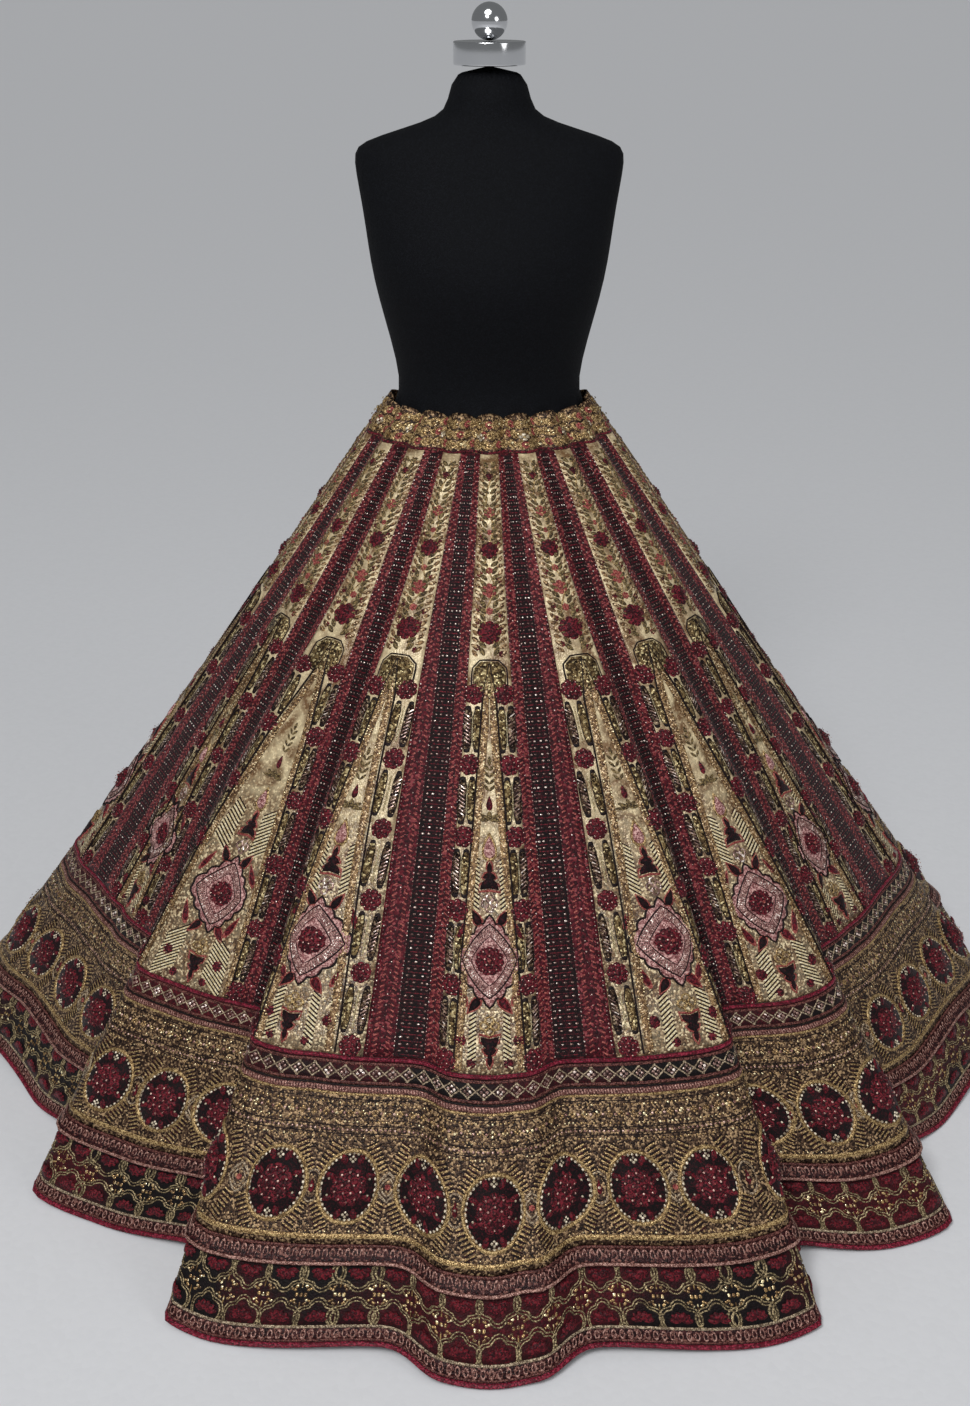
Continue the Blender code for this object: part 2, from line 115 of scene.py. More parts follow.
# Soft creases: the turn and distance down where each is deepest, half its width in kalis, half its
# length in metres, and how far it stands out, with troughs below zero
CREASES = (
    (-0.36, 0.93, 0.10, 0.17, -0.006),
    (0.14, 0.95, 0.07, 0.13, -0.005),
    (0.40, 0.92, 0.10, 0.18, -0.006),
    (-0.12, 0.45, 0.09, 0.15, -0.003),
    (0.86, 0.60, 0.08, 0.22, -0.004),
    (1.12, 0.88, 0.09, 0.14, 0.004),
    (-0.84, 0.72, 0.08, 0.20, -0.004),
    (-1.10, 0.95, 0.10, 0.12, 0.005),
    (1.95, 0.52, 0.10, 0.24, 0.004),
    (2.20, 0.86, 0.08, 0.16, -0.005),
    (-2.05, 0.48, 0.09, 0.22, -0.004),
    (-2.24, 0.90, 0.10, 0.15, 0.005),
    (2.95, 0.66, 0.12, 0.20, -0.005),
    (-3.08, 0.70, 0.11, 0.19, -0.005),
    (3.85, 0.44, 0.09, 0.21, 0.004),
    (-3.90, 0.82, 0.10, 0.18, -0.006),
    (4.15, 0.92, 0.10, 0.15, -0.006),
    (4.90, 0.58, 0.10, 0.23, -0.004),
    (-4.95, 0.50, 0.10, 0.20, 0.004),
    (5.75, 0.90, 0.09, 0.16, 0.005),
    (-5.80, 0.64, 0.09, 0.24, -0.004),
    (6.20, 0.47, 0.10, 0.19, -0.004),
    (-6.30, 0.94, 0.08, 0.14, -0.006),
    (7.05, 0.84, 0.11, 0.17, -0.005),
    (-7.10, 0.55, 0.10, 0.22, 0.004),
    (7.90, 0.60, 0.08, 0.20, -0.004),
    (-7.85, 0.93, 0.10, 0.15, -0.006),
    (8.70, 0.91, 0.09, 0.16, 0.005),
    (-8.75, 0.49, 0.10, 0.21, -0.004),
)


def smooth_step(share):
    """Ease from 0 to 1."""
    share = np.clip(share, 0.0, 1.0)
    return share * share * (3.0 - 2.0 * share)


def fold_line(rows, column, level_ends):
    """Turns, values and slopes of a smooth curve through one side's folds that never overshoots."""
    turns = [kali + step for kali in range(len(rows)) for step in (0.0, EDGE_TURN, GROOVE_TURN)]
    values = [row[column + offset] for row in rows for offset in (0, 2, 4)]
    turns = np.array(turns + [len(rows)], dtype=float)
    values = np.array(values + [BACK_MIDDLE[column]])
    gaps = np.diff(turns)
    steps = np.diff(values) / gaps
    slopes = np.zeros(len(turns))
    for place in range(1, len(steps)):
        left, right = steps[place - 1], steps[place]
        if left * right > 0.0:
            weight_left = 2.0 * gaps[place] + gaps[place - 1]
            weight_right = gaps[place] + 2.0 * gaps[place - 1]
            slopes[place] = (weight_left + weight_right) / (weight_left / left + weight_right / right)
    if not level_ends:
        slopes[0], slopes[-1] = steps[0], steps[-1]
    return turns, values, slopes


def read_line(line, turn):
    """Value of a fold line at an array of turns."""
    turns, values, slopes = line
    place = np.clip(np.searchsorted(turns, turn) - 1, 0, len(turns) - 2)
    gap = turns[place + 1] - turns[place]
    share = (turn - turns[place]) / gap
    rest = 1.0 - share
    return (
        (1.0 + 2.0 * share) * rest ** 2 * values[place]
        + share * rest ** 2 * gap * slopes[place]
        + share ** 2 * (3.0 - 2.0 * share) * values[place + 1]
        - share ** 2 * rest * gap * slopes[place + 1]
    )


AZIMUTHS = {1: fold_line(RIGHT_FOLDS, 0, False), -1: fold_line(LEFT_FOLDS, 0, False)}
HEM_RADII = {1: fold_line(RIGHT_FOLDS, 1, True), -1: fold_line(LEFT_FOLDS, 1, True)}


def read_sides(lines, turn):
    """Value of a pair of fold lines, the right one where the turn is above zero."""
    return np.where(turn >= 0.0, read_line(lines[1], abs(turn)), read_line(lines[-1], abs(turn)))


def crease_depth(turn, down):
    """How far the soft creases move the cloth."""
    depth = np.zeros_like(turn)
    for middle, middle_down, half_width, half_length, rise in CREASES:
        across = (turn - middle + KALIS / 2.0) % KALIS - KALIS / 2.0
        along = (down - middle_down) / half_length
        depth += rise * np.exp(-((across / half_width) ** 2)) * np.exp(-(along ** 2))
    return depth


def surface(turn, down):
    """Points of the cloth's inner face, for arrays of cloth coordinates."""
    turn = (turn + KALIS / 2.0) % KALIS - KALIS / 2.0
    share = down / SLANT
    even = 360.0 / KALIS * turn
    folded = np.sign(turn) * read_sides(AZIMUTHS, turn)
    azimuth = np.radians(even + (folded - even) * smooth_step(share / FOLDS_SET_BY))
    across = WAIST_HALF_WIDTH * np.cos(azimuth)
    along = WAIST_HALF_DEPTH * np.sin(azimuth)
    waist = WAIST_HALF_WIDTH * WAIST_HALF_DEPTH / np.hypot(across, along)
    below = np.maximum(share, 0.0)
    radius = waist + (HEM_RADIUS - waist) * share
    radius += (read_sides(HEM_RADII, turn) - HEM_RADIUS) * below ** FOLD_GROWTH
    pleat_left = 1.0 - smooth_step(share / PLEATS_GONE_BY)
    radius += WAIST_PLEAT / 2.0 * np.cos(2.0 * np.pi * turn) * pleat_left
    drawn = np.sin(np.pi / 2.0 * np.clip(-down / BAND_DRAWN_AT, 0.0, 1.0))
    radius -= (BAND_PLEAT - WAIST_PLEAT) * drawn * np.sin(np.pi * turn) ** 2
    radius += crease_depth(turn, down)
    height = SEAM_HEIGHT + (HEM_HEIGHT - SEAM_HEIGHT) * share
    height += HEM_LIFT * np.sin(np.pi * turn) ** 2 * below ** 4
    return np.stack([radius * np.sin(azimuth), -radius * np.cos(azimuth), height], axis=-1)


def on_cloth(turn, down, out):
    """Points that stand out from the cloth, square to it."""
    turn, down, out = np.broadcast_arrays(*(np.asarray(item, dtype=float) for item in (turn, down, out)))
    across = surface(turn + NEARBY, down) - surface(turn - NEARBY, down)
    along = surface(turn, down + NEARBY) - surface(turn, down - NEARBY)
    normal = np.cross(along, across)
    normal /= np.linalg.norm(normal, axis=-1, keepdims=True)
    return surface(turn, down) + normal * out[..., None]


def pitch(turn, down):
    """Metres of cloth in one kali's turn, at a place."""
    turn, down = np.broadcast_arrays(np.asarray(turn, dtype=float), np.asarray(down, dtype=float))
    across = surface(turn + NEARBY, down) - surface(turn - NEARBY, down)
    return np.linalg.norm(across, axis=-1) / (2.0 * NEARBY)


def gore_share(down):
    """Half the width of a gold gore, as a share of the kali pitch."""
    return GORE_SHARE_WAIST + (GORE_SHARE_HEM - GORE_SHARE_WAIST) * smooth_step(down / KALI_LENGTH)


def to_linear(code):
    """Linear colour of an sRGB hex code."""
    parts = [int(code[place:place + 2], 16) / 255.0 for place in (1, 3, 5)]
    linear = [part / 12.92 if part <= 0.04045 else ((part + 0.055) / 1.055) ** 2.4 for part in parts]
    return (*linear, 1.0)


def add_node(material, kind, settings=(), links=()):
    """Add a node, set its properties and sockets, and link its sockets to other nodes' outputs."""
    node = material.node_tree.nodes.new(kind)
    for name, value in dict(settings).items():
        if isinstance(name, str) and hasattr(node, name):
            setattr(node, name, value)
        else:
            node.inputs[name].default_value = value
    for name, output in dict(links).items():
        material.node_tree.links.new(output, node.inputs[name])
    return node


def add_ramp(material, steps, source):
    """Colour ramp through steps of (share, hex code)."""
    ramp = add_node(material, "ShaderNodeValToRGB", links={"Fac": source})
    elements = ramp.color_ramp.elements
    while len(elements) < len(steps):
        elements.new(0.5)
    for element, (share, code) in zip(elements, steps):
        element.position = share
        element.color = to_linear(code)
    return ramp


def add_noise(material, patch, settings):
    """Noise whose patches are about so many metres wide."""
    place = add_node(material, "ShaderNodeTexCoord")
    return add_node(
        material, "ShaderNodeTexNoise", {"Scale": 1.0 / patch, **settings},
        {"Vector": place.outputs["Object"]},
    )


def new_material(name, roughness, metal=0.0, sheen=0.0, gloss=0.16):
    """Material with a Principled BSDF, and its shader. gloss is its specular level."""
    material = bpy.data.materials.new(name)
    material.use_nodes = True
    shader = material.node_tree.nodes["Principled BSDF"]
    sockets = ("Roughness", "Metallic", "Sheen Weight", "Specular IOR Level")
    for socket, value in zip(sockets, (roughness, metal, sheen, gloss)):
        shader.inputs[socket].default_value = value
    return material, shader


def sparkle(material, shader, steps, grain, depth=0.3):
    """Colour a finish with grains of thread, bead or sequin, each a cell with a shade of its own.

    steps is a row of (share, hex code), and grain the size of a grain in metres.
    """
    place = add_node(material, "ShaderNodeTexCoord")
    cells = add_node(
        material, "ShaderNodeTexVoronoi", {"Scale": 1.0 / grain}, {"Vector": place.outputs["Object"]}
    )
    parts = add_node(material, "ShaderNodeSeparateColor", links={"Color": cells.outputs["Color"]})
    # Where the top step is far brighter than the rest, the few cells that reach it are painted glints
    ramp = add_ramp(material, steps, parts.outputs["Red"])
    bump = add_node(
        material, "ShaderNodeBump", {"Strength": depth, "Distance": grain, "invert": True},
        {"Height": cells.outputs["Distance"]},
    )
    material.node_tree.links.new(ramp.outputs["Color"], shader.inputs["Base Color"])
    material.node_tree.links.new(bump.outputs["Normal"], shader.inputs["Normal"])
    return ramp, bump


def grained(name, steps, grain, roughness, metal=0.0, sheen=0.0, gloss=0.16, depth=0.3):
    """Material of one kind of cloth, thread or bead, with its grains."""
    material, shader = new_material(name, roughness, metal, sheen, gloss)
    sparkle(material, shader, steps, grain, depth)
    return material


def worked_satin():
    """Cream satin: puckered and glossy above, with painted highlights and shade on the puckers, and worked
    closer with gold thread towards the border.
    """
    material, shader = new_material("Cream satin worked with gold thread", 0.32, 0.1, gloss=0.5)
    steps = ((0.0, "#291c13"), (0.35, "#553f2d"), (0.7, "#8b6d4e"), (0.94, "#ecd8ae"))
    ramp, bump = sparkle(material, shader, steps, 0.0024)
    where = add_node(material, "ShaderNodeUVMap", {"uv_map": "cloth"})
    parts = add_node(material, "ShaderNodeSeparateXYZ", links={"Vector": where.outputs["UV"]})
    limits = {"From Min": 0.40, "From Max": 0.60, "To Min": 0.28, "To Max": 0.86}
    worked = add_node(
        material, "ShaderNodeMapRange", {"interpolation_type": "SMOOTHSTEP", **limits},
        {"Value": parts.outputs["Y"]},
    )
    puckers = add_noise(material, PUCKER, {"Detail": 2.0, "Roughness": 0.45, "Distortion": 0.6})
    # Painted highlights and shade: the satin's colour turns cream on the puckers' crests and brown in their
    # hollows
    satin = add_ramp(material, ((0.36, "#7d5d3c"), (0.60, "#f0dcb0")), puckers.outputs["Fac"])
    mixed = add_node(
        material, "ShaderNodeMix", {"data_type": "RGBA"},
        {0: worked.outputs["Result"], 6: satin.outputs["Color"], 7: ramp.outputs["Color"]},
    )
    material.node_tree.links.new(mixed.outputs[2], shader.inputs["Base Color"])
    ripples = add_node(
        material, "ShaderNodeBump", {"Strength": 0.8, "Distance": 0.006},
        {"Height": puckers.outputs["Fac"], "Normal": bump.outputs["Normal"]},
    )
    material.node_tree.links.new(ripples.outputs["Normal"], shader.inputs["Normal"])
    return material


def velvet_with_painted_nap_light(name, dark, bright):
    """Velvet, dark in some patches and with painted highlights in others, where its nap would catch the
    light.
    """
    material, shader = new_material(name, 0.6, sheen=SHEEN)
    ramp, _ = sparkle(material, shader, ((0.0, "#404040"), (0.6, "#8a8a8a"), (0.96, "#ffffff")), 0.0024)
    nap = add_noise(material, NAP_LIGHT_PATCH, {"Detail": 1.0, "Distortion": 0.4})
    # Painted highlights: the noise's patches lift the dark velvet to crimson
    painted_nap_light = add_ramp(material, ((0.46, dark), (0.60, bright)), nap.outputs["Fac"])
    mixed = add_node(
        material, "ShaderNodeMix", {"data_type": "RGBA", "blend_type": "MULTIPLY", 0: 0.75},
        {6: painted_nap_light.outputs["Color"], 7: ramp.outputs["Color"]},
    )
    material.node_tree.links.new(mixed.outputs[2], shader.inputs["Base Color"])
    return material


# Puckers of the satin, with their painted highlights and shade, and the velvet's patches of painted
# nap light are at real size. Grains of thread are about twice the size of real thread, and those of
# beads and sequins a little larger than real ones, so that they show from a few steps away.
PUCKER = 0.028
NAP_LIGHT_PATCH = 0.22
SHEEN = 0.06
# Satin with painted highlights and shade on its puckers
CREAM_SATIN = worked_satin()
# Maroon silk velvet: deep, with a soft edge light from the pile
MAROON_VELVET = grained(
    "Maroon silk velvet", ((0.0, "#21050a"), (0.5, "#3f0a14"), (0.8, "#580f1b"), (0.97, "#8a4144")),
    0.0026, 0.6, sheen=SHEEN,
)
# Nearly black velvet with painted crimson highlights in patches, where its nap would turn to the light: the
# flounce and the lattice
BLACK_VELVET = velvet_with_painted_nap_light("Maroon velvet with painted nap light", "#100407", "#520c17")
# Dull gold metal thread packed close
GOLD_THREAD = grained(
    "Dull gold metal thread embroidery",
    ((0.0, "#140c0a"), (0.35, "#302119"), (0.7, "#594332"), (0.93, "#b2946f")), 0.0022, 0.42, 0.25,
)
# Pink satin trim with pale beads
PINK_TRIM = grained(
    "Pink beaded trim", ((0.0, "#140506"), (0.4, "#260b0d"), (0.75, "#3c1718"), (0.95, "#845a50")),
    0.0022, 0.42, 0.1,
)
# Crimson satin piping, glossy over a cord
RED_SATIN = grained(
    "Crimson satin piping", ((0.0, "#36060f"), (0.6, "#671124"), (0.95, "#983044")),
    0.0016, 0.4, sheen=SHEEN,
)
# Black cotton jersey, drawn tight over the form
JERSEY = grained(
    "Black knitted jersey", ((0.0, "#07080b"), (0.6, "#0b0c10"), (0.95, "#101216")), 0.0012, 0.8, gloss=0.12,
)
# Polished chrome plate
CHROME, chrome_shader = new_material("Polished chrome plate", 0.12, 1.0, gloss=0.5)
chrome_shader.inputs["Base Color"].default_value = to_linear("#d9dadc")
# Black powder coat on steel
POWDER_COAT = grained("Black powder coat", ((0.0, "#121213"), (0.9, "#1c1c1e")), 0.0008, 0.45, depth=0.15)
# Pale matt floor
FLOOR = grained("Pale matt floor", ((0.0, "#e2e3e6"), (0.9, "#e4e5e8")), 0.010, 0.75, depth=0.02)


def add_object(name, data):
    """Object in the scene."""
    item = bpy.data.objects.new(name, data)
    bpy.context.scene.collection.objects.link(item)
    return item


def mesh_from(bm, name):
    """Mesh of a bmesh, which is used up."""
    mesh = bpy.data.meshes.new(name)
    bm.to_mesh(mesh)
    bm.free()
    return mesh


def add_piece(mesh, material):
    """Named piece of a mesh, which rides with the object."""
    mesh.materials.append(material)
    mesh.shade_smooth()
    piece = add_object(mesh.name, mesh)
    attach(piece, "root")
    return piece


def lay_cloth(name, node, material, columns, rows, place, closed=False):
    """Thin shell of cloth. place gives the cloth coordinates for arrays of shares across and up."""
    bm = bmesh.new()
    bmesh.ops.create_grid(bm, x_segments=columns, y_segments=rows, size=0.5)
    flat = np.array([vertex.co.to_tuple()[:2] for vertex in bm.verts]) + 0.5
    turn, down, out = place(flat[:, 0], flat[:, 1])
    for vertex, point in zip(bm.verts, on_cloth(turn, down, out)):
        vertex.co = point
    around = (turn - turn.min()) * np.mean(pitch(turn, down))
    layer = bm.loops.layers.uv.new("cloth")
    for face in bm.faces:
        for loop in face.loops:
            loop[layer].uv = (around[loop.vert.index], down[loop.vert.index])
    if closed:
        bmesh.ops.remove_doubles(bm, verts=bm.verts, dist=0.00005)
    piece = add_piece(mesh_from(bm, name), material)
    wall = piece.modifiers.new("Cloth", "SOLIDIFY")
    wall.thickness = SHELL
    wall.offset = -1.0
    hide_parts(node)
    return piece


def edge_gap(turn, down):
    """Half a seam's gap, in kalis."""
    return GAP / 2.0 / pitch(turn, down)


def lay_gore(kali, start, end, node, material):
    """Gore or stripe from one share of the pitch to another, as functions of the distance down."""
    def place(across, up):
        down = (KALI_LENGTH - GAP / 2.0) + (GAP - KALI_LENGTH) * up
        left, right = kali + start(down), kali + end(down)
        return left + (right - left) * across, down, np.full_like(down, CLOTH)

    piece = lay_cloth(f"{node}_cloth", node, material, 14, 40, place)
    middle = kali + (start(0.0) + end(0.0)) / 2.0
    widths = [(end(down) - start(down)) * pitch(middle, down) for down in (0.0, KALI_LENGTH)]


def lay_band(name, node, slot, material, top, bottom, start, end, rows, outs, held=None, rests_on=None):
    """Band of cloth between two distances down and two turns, with its outer face at outs."""
    closed = end - start == KALIS

    def place(across, up):
        down = bottom - GAP / 2.0 + (top - bottom + GAP) * up
        turn = start + (end - start) * across
        if not closed:
            inward = edge_gap(turn, down) * ((across == 0.0) * 1.0 - (across == 1.0) * 1.0)
            turn = turn + inward
        return turn, down, np.interp(1.0 - up, np.linspace(0.0, 1.0, len(outs)), outs)

    columns = int((end - start) * BAND_COLUMNS)
    piece = lay_cloth(name, node, material, columns, rows, place, closed)
    if held:
        turns = np.linspace(start, end, columns)
        length = np.mean(pitch(turns, (top + bottom) / 2.0)) * (end - start)


def lay_waistband():
    """Gathered band with a scalloped upper edge."""
    def place(across, up):
        turn = -KALIS / 2.0 + KALIS * across
        top = -(BAND_HEIGHT + BAND_SCALLOP * abs(np.cos(np.pi * turn)))
        return turn, -GAP / 2.0 + (top + GAP / 2.0) * up, np.full_like(turn, CLOTH)

    piece = lay_cloth("waistband_cloth", "waistband", GOLD_THREAD, KALIS * 16, 10, place, True)
    turns = np.linspace(-KALIS / 2.0, KALIS / 2.0, KALIS * 16)
    length = np.mean(pitch(turns, -BAND_DRAWN_AT)) * KALIS


for kali in range(KALIS):
    lay_gore(kali, lambda down: -gore_share(down), gore_share, f"kali_{kali + 1:02d}",
             CREAM_SATIN)
    lay_gore(kali, gore_share, lambda down: 1.0 - gore_share(down), f"stripe_{kali + 1:02d}",
             MAROON_VELVET)

SEAM = SIDE_KALI + GORE_SHARE_HEM
ROUND = (-KALIS / 2.0, KALIS / 2.0)
HALVES = (("front", -SEAM, SEAM), ("back", SEAM, KALIS - SEAM))
lay_band("piping_cloth", "border_piping", "red_piping", RED_SATIN, KALI_LENGTH, LATTICE_TOP, *ROUND,
         6, (CLOTH, 0.0040, PIPING_DEPTH, 0.0040, CLOTH))
lay_band("lattice_cloth", "border_lattice", "lattice", BLACK_VELVET, LATTICE_TOP, GOLD_TOP, *ROUND,
         3, (CLOTH, CLOTH), "hung", "kali_01_cloth")
lay_band("trim_cloth", "border_trim", "pink_trim", PINK_TRIM, TRIM_TOP, TRIM_END, *ROUND,
         3, (CLOTH, TRIM_FLARE + CLOTH), "hung", "border_front_cloth")
for side, start, end in HALVES:
    lay_band(f"border_{side}_cloth", f"border_gold_{side}", "gold_border", GOLD_THREAD, GOLD_TOP,
             TRIM_TOP, start, end, 16, (CLOTH, CLOTH), "hung", "lattice_cloth")
    lay_band(f"flounce_{side}_cloth", f"flounce_{side}", "dark_velvet", BLACK_VELVET, TRIM_TOP,
             HEM_TRIM_TOP, start, end, 10, (-GAP, -GAP), "gathered", f"border_{side}_cloth")
    lay_band(f"hem_trim_{side}_cloth", f"hem_trim_{side}", "pink_trim", PINK_TRIM, HEM_TRIM_TOP,
             HEM_PIPING_TOP, start, end, 3, (-GAP, -GAP), "hung", f"flounce_{side}_cloth")
    lay_band(f"hem_piping_{side}_cloth", f"hem_piping_{side}", "red_piping", RED_SATIN,
             HEM_PIPING_TOP, SLANT, start, end, 4, (-GAP, 0.0014, CLOTH))
lay_waistband()


# Small shapes, modelled flat in a square 1 across, with y up the skirt and z out of the cloth
def flat_shape(bm):
    """Points and triangles of a small shape."""
    bmesh.ops.triangulate(bm, faces=bm.faces[:])
    bm.verts.index_update()
    points = np.array([vertex.co.to_tuple() for vertex in bm.verts])
    triangles = np.array([[vertex.index for vertex in face.verts] for face in bm.faces])
    bm.free()
    return points, triangles


def mound(outline, rise, segments, rim=0.75, lean=0.0):
    """Padded shape. outline gives x and y for an angle that starts at the top and turns right.

    rim is where the pad's top begins, as a share of the outline, or 0 for a plain peak. lean moves
    the peak up the shape.
    """
    bm = bmesh.new()
    bmesh.ops.create_circle(bm, cap_ends=True, cap_tris=not rim, radius=1.0, segments=segments)
    if rim:
        bmesh.ops.inset_individual(bm, faces=bm.faces[:], thickness=0.3)
        top = max(bm.faces, key=lambda face: len(face.verts))
        bmesh.ops.poke(bm, faces=[top])
    for vertex in bm.verts:
        x, y = outline(math.atan2(vertex.co.x, vertex.co.y) % (2.0 * math.pi))
        distance = vertex.co.length
        share = 1.0 if distance > 0.99 else rim if distance > 0.01 else 0.0
        height = 0.0 if share == 1.0 else rise * 0.85 if share else rise
        vertex.co = (x * share, y * share + lean * (1.0 - share), height)
    bm.normal_update()
    if sum(face.normal.z for face in bm.faces) < 0.0:
        bmesh.ops.reverse_faces(bm, faces=bm.faces[:])
    return flat_shape(bm)


def dome(segments, rings, rise):
    """Bead: the upper part of a ball."""
    bm = bmesh.new()
    bmesh.ops.create_uvsphere(bm, u_segments=segments, v_segments=rings, radius=0.5)
    low = [vertex for vertex in bm.verts if vertex.co.z < -0.01]
    bmesh.ops.delete(bm, geom=low, context="VERTS")
    for vertex in bm.verts:
        vertex.co.z *= rise / 0.5
    return flat_shape(bm)


def ribbon(count):
    """Strip 1 wide of two columns, with count places along it, and each point's place."""
    bm = bmesh.new()
    bmesh.ops.create_grid(bm, x_segments=2, y_segments=count - 1, size=0.5)
    points, triangles = flat_shape(bm)
    return points, triangles, np.rint((points[:, 1] + 0.5) * (count - 1)).astype(int)


def cord_shape(path, width, rise):
    """Half-round cord sewn along a path of x and y."""
    path = np.array(path, dtype=float)
    forward = np.gradient(path, axis=0)
    if np.allclose(path[0], path[-1]):
        forward[0] = forward[-1] = path[1] - path[-2]
    forward /= np.linalg.norm(forward, axis=1, keepdims=True)
    strip, triangles, places = ribbon(len(path))
    right = np.stack([forward[:, 1], -forward[:, 0]], axis=1)[places]
    flat = path[places] + right * strip[:, :1] * width
    return np.column_stack([flat, rise * (abs(strip[:, 0]) < 0.1)]), triangles


def join_shapes(parts):
    """One shape from several, each with its place, size, angle and lift."""
    points, triangles, count = [], [], 0
    for (part_points, part_triangles), x, y, width, height, angle, lift in parts:
        across, up = part_points[:, 0] * width, part_points[:, 1] * height
        points.append(np.stack([
            x + across * math.cos(angle) - up * math.sin(angle),
            y + across * math.sin(angle) + up * math.cos(angle),
            lift + part_points[:, 2] * min(width, height),
        ], axis=1))
        triangles.append(part_triangles + count)
        count += len(part_points)
    return np.concatenate(points), np.concatenate(triangles)


def leaf(angle):
    """Leaf with a point at each end."""
    side = math.sin(angle)
    return 0.5 * math.copysign(abs(side) ** 1.5, side), 0.5 * math.cos(angle)


def drop(angle):
    """Drop with its point at the top."""
    return 0.58 * math.sin(angle) * math.sin(angle / 2.0) ** 1.3, 0.5 * math.cos(angle)


def oval(angle):
    """Circle, or an oval once it is laid with a width and a height."""
    return 0.5 * math.sin(angle), 0.5 * math.cos(angle)


def square(angle):
    """Square, when it is drawn with four corners."""
    return 0.7 * math.sin(angle + math.pi / 4.0), 0.7 * math.cos(angle + math.pi / 4.0)


def long_cell(angle):
    """Honeycomb cell with its corners cut off."""
    across, up = abs(math.sin(angle)), abs(math.cos(angle))
    reach = min(0.5 / max(across, 0.001), 0.5 / max(up, 0.001), 0.76 / (across + up))
    return reach * math.sin(angle), reach * math.cos(angle)


def soft_lozenge(angle):
    """Diamond with sides that swell a little."""
    swell = 1.25
    reach = 0.5 / (abs(math.sin(angle)) ** swell + abs(math.cos(angle)) ** swell) ** (1.0 / swell)
    return reach * math.sin(angle), reach * math.cos(angle)


def scalloped_lozenge(angle):
    """Diamond with fourteen scallops."""
    x, y = soft_lozenge(angle)
    scallop = 0.92 + 0.10 * abs(math.cos(7.0 * angle))
    return x * scallop, y * scallop


# Half of a stemmed spade's outline, x and y from its tip to its foot
SPADE_HALF = (
    (0.0, 0.5), (0.12, 0.36), (0.13, 0.22), (0.05, 0.14), (0.22, 0.08), (0.32, -0.04),
    (0.13, -0.14), (0.40, -0.24), (0.45, -0.46), (0.0, -0.40),
)


def spade(angle):
    """Stemmed spade."""
    side = 1.0 if angle <= math.pi else -1.0
    place = (angle if side > 0.0 else 2.0 * math.pi - angle) / math.pi * (len(SPADE_HALF) - 1)
    low = min(int(place), len(SPADE_HALF) - 2)
    (x, y), (next_x, next_y) = SPADE_HALF[low], SPADE_HALF[low + 1]
    return side * (x + (next_x - x) * (place - low)), y + (next_y - y) * (place - low)


def ring_path(outline, steps, scale=1.0):
    """Closed path round an outline."""
    angles = [2.0 * math.pi * (step % steps) / steps for step in range(steps + 1)]
    return [(outline(angle)[0] * scale, outline(angle)[1] * scale) for angle in angles]


def arch_path(scale, steps=20):
    """Arch of three lobes that stands on its two feet."""
    path = []
    for step in range(steps + 1):
        angle = math.pi * step / steps
        reach = scale * (0.40 + 0.10 * abs(math.sin(3.0 * angle)))
        path.append((1.25 * reach * math.cos(angle), 1.9 * reach * math.sin(angle)))
    return path


def evenly_along(path, count):
    """Places spaced evenly round a closed path."""
    path = np.array(path)
    lengths = np.concatenate([[0.0], np.cumsum(np.hypot(*np.diff(path, axis=0).T))])
    wanted = np.linspace(0.0, lengths[-1], count, endpoint=False)
    return zip(np.interp(wanted, lengths, path[:, 0]), np.interp(wanted, lengths, path[:, 1]))


BEAD = dome(5, 2, 0.42)
LEAF = mound(leaf, 0.22, 8)
PETAL = mound(oval, 0.36, 7, 0.0, 0.26)
BAR = mound(square, 0.5, 4, 0.0)
OVAL_RING = cord_shape(ring_path(oval, 8), 0.26, 0.14)


def rose_shape(rings, lift_step):
    """Rose: rings of overlapping petals round a bud, each ring higher than the one outside it."""
    parts = []
    for number, (count, reach, size) in enumerate(rings):
        for step in range(count):
            angle = 2.0 * math.pi * (step + 0.5 * (number % 2)) / count
            place = (reach * math.sin(angle), reach * math.cos(angle))
            parts.append((PETAL, *place, size * 1.15, size, -angle, lift_step * number))
    return join_shapes(parts)


def bead_ring(outline, count, size):
    """Ring of beads round an outline."""
    return join_shapes([
        (BEAD, x, y, size, size, 0.0, 0.0) for x, y in evenly_along(ring_path(outline, 96), count)
    ])


def fan(shape, angles, reach, width, height):
    """Copies of a shape that fan out from a foot."""
    return join_shapes([
        (shape, reach * math.sin(angle), reach * math.cos(angle), width, height, -angle, 0.02 * place)
        for place, angle in enumerate(angles)
    ])


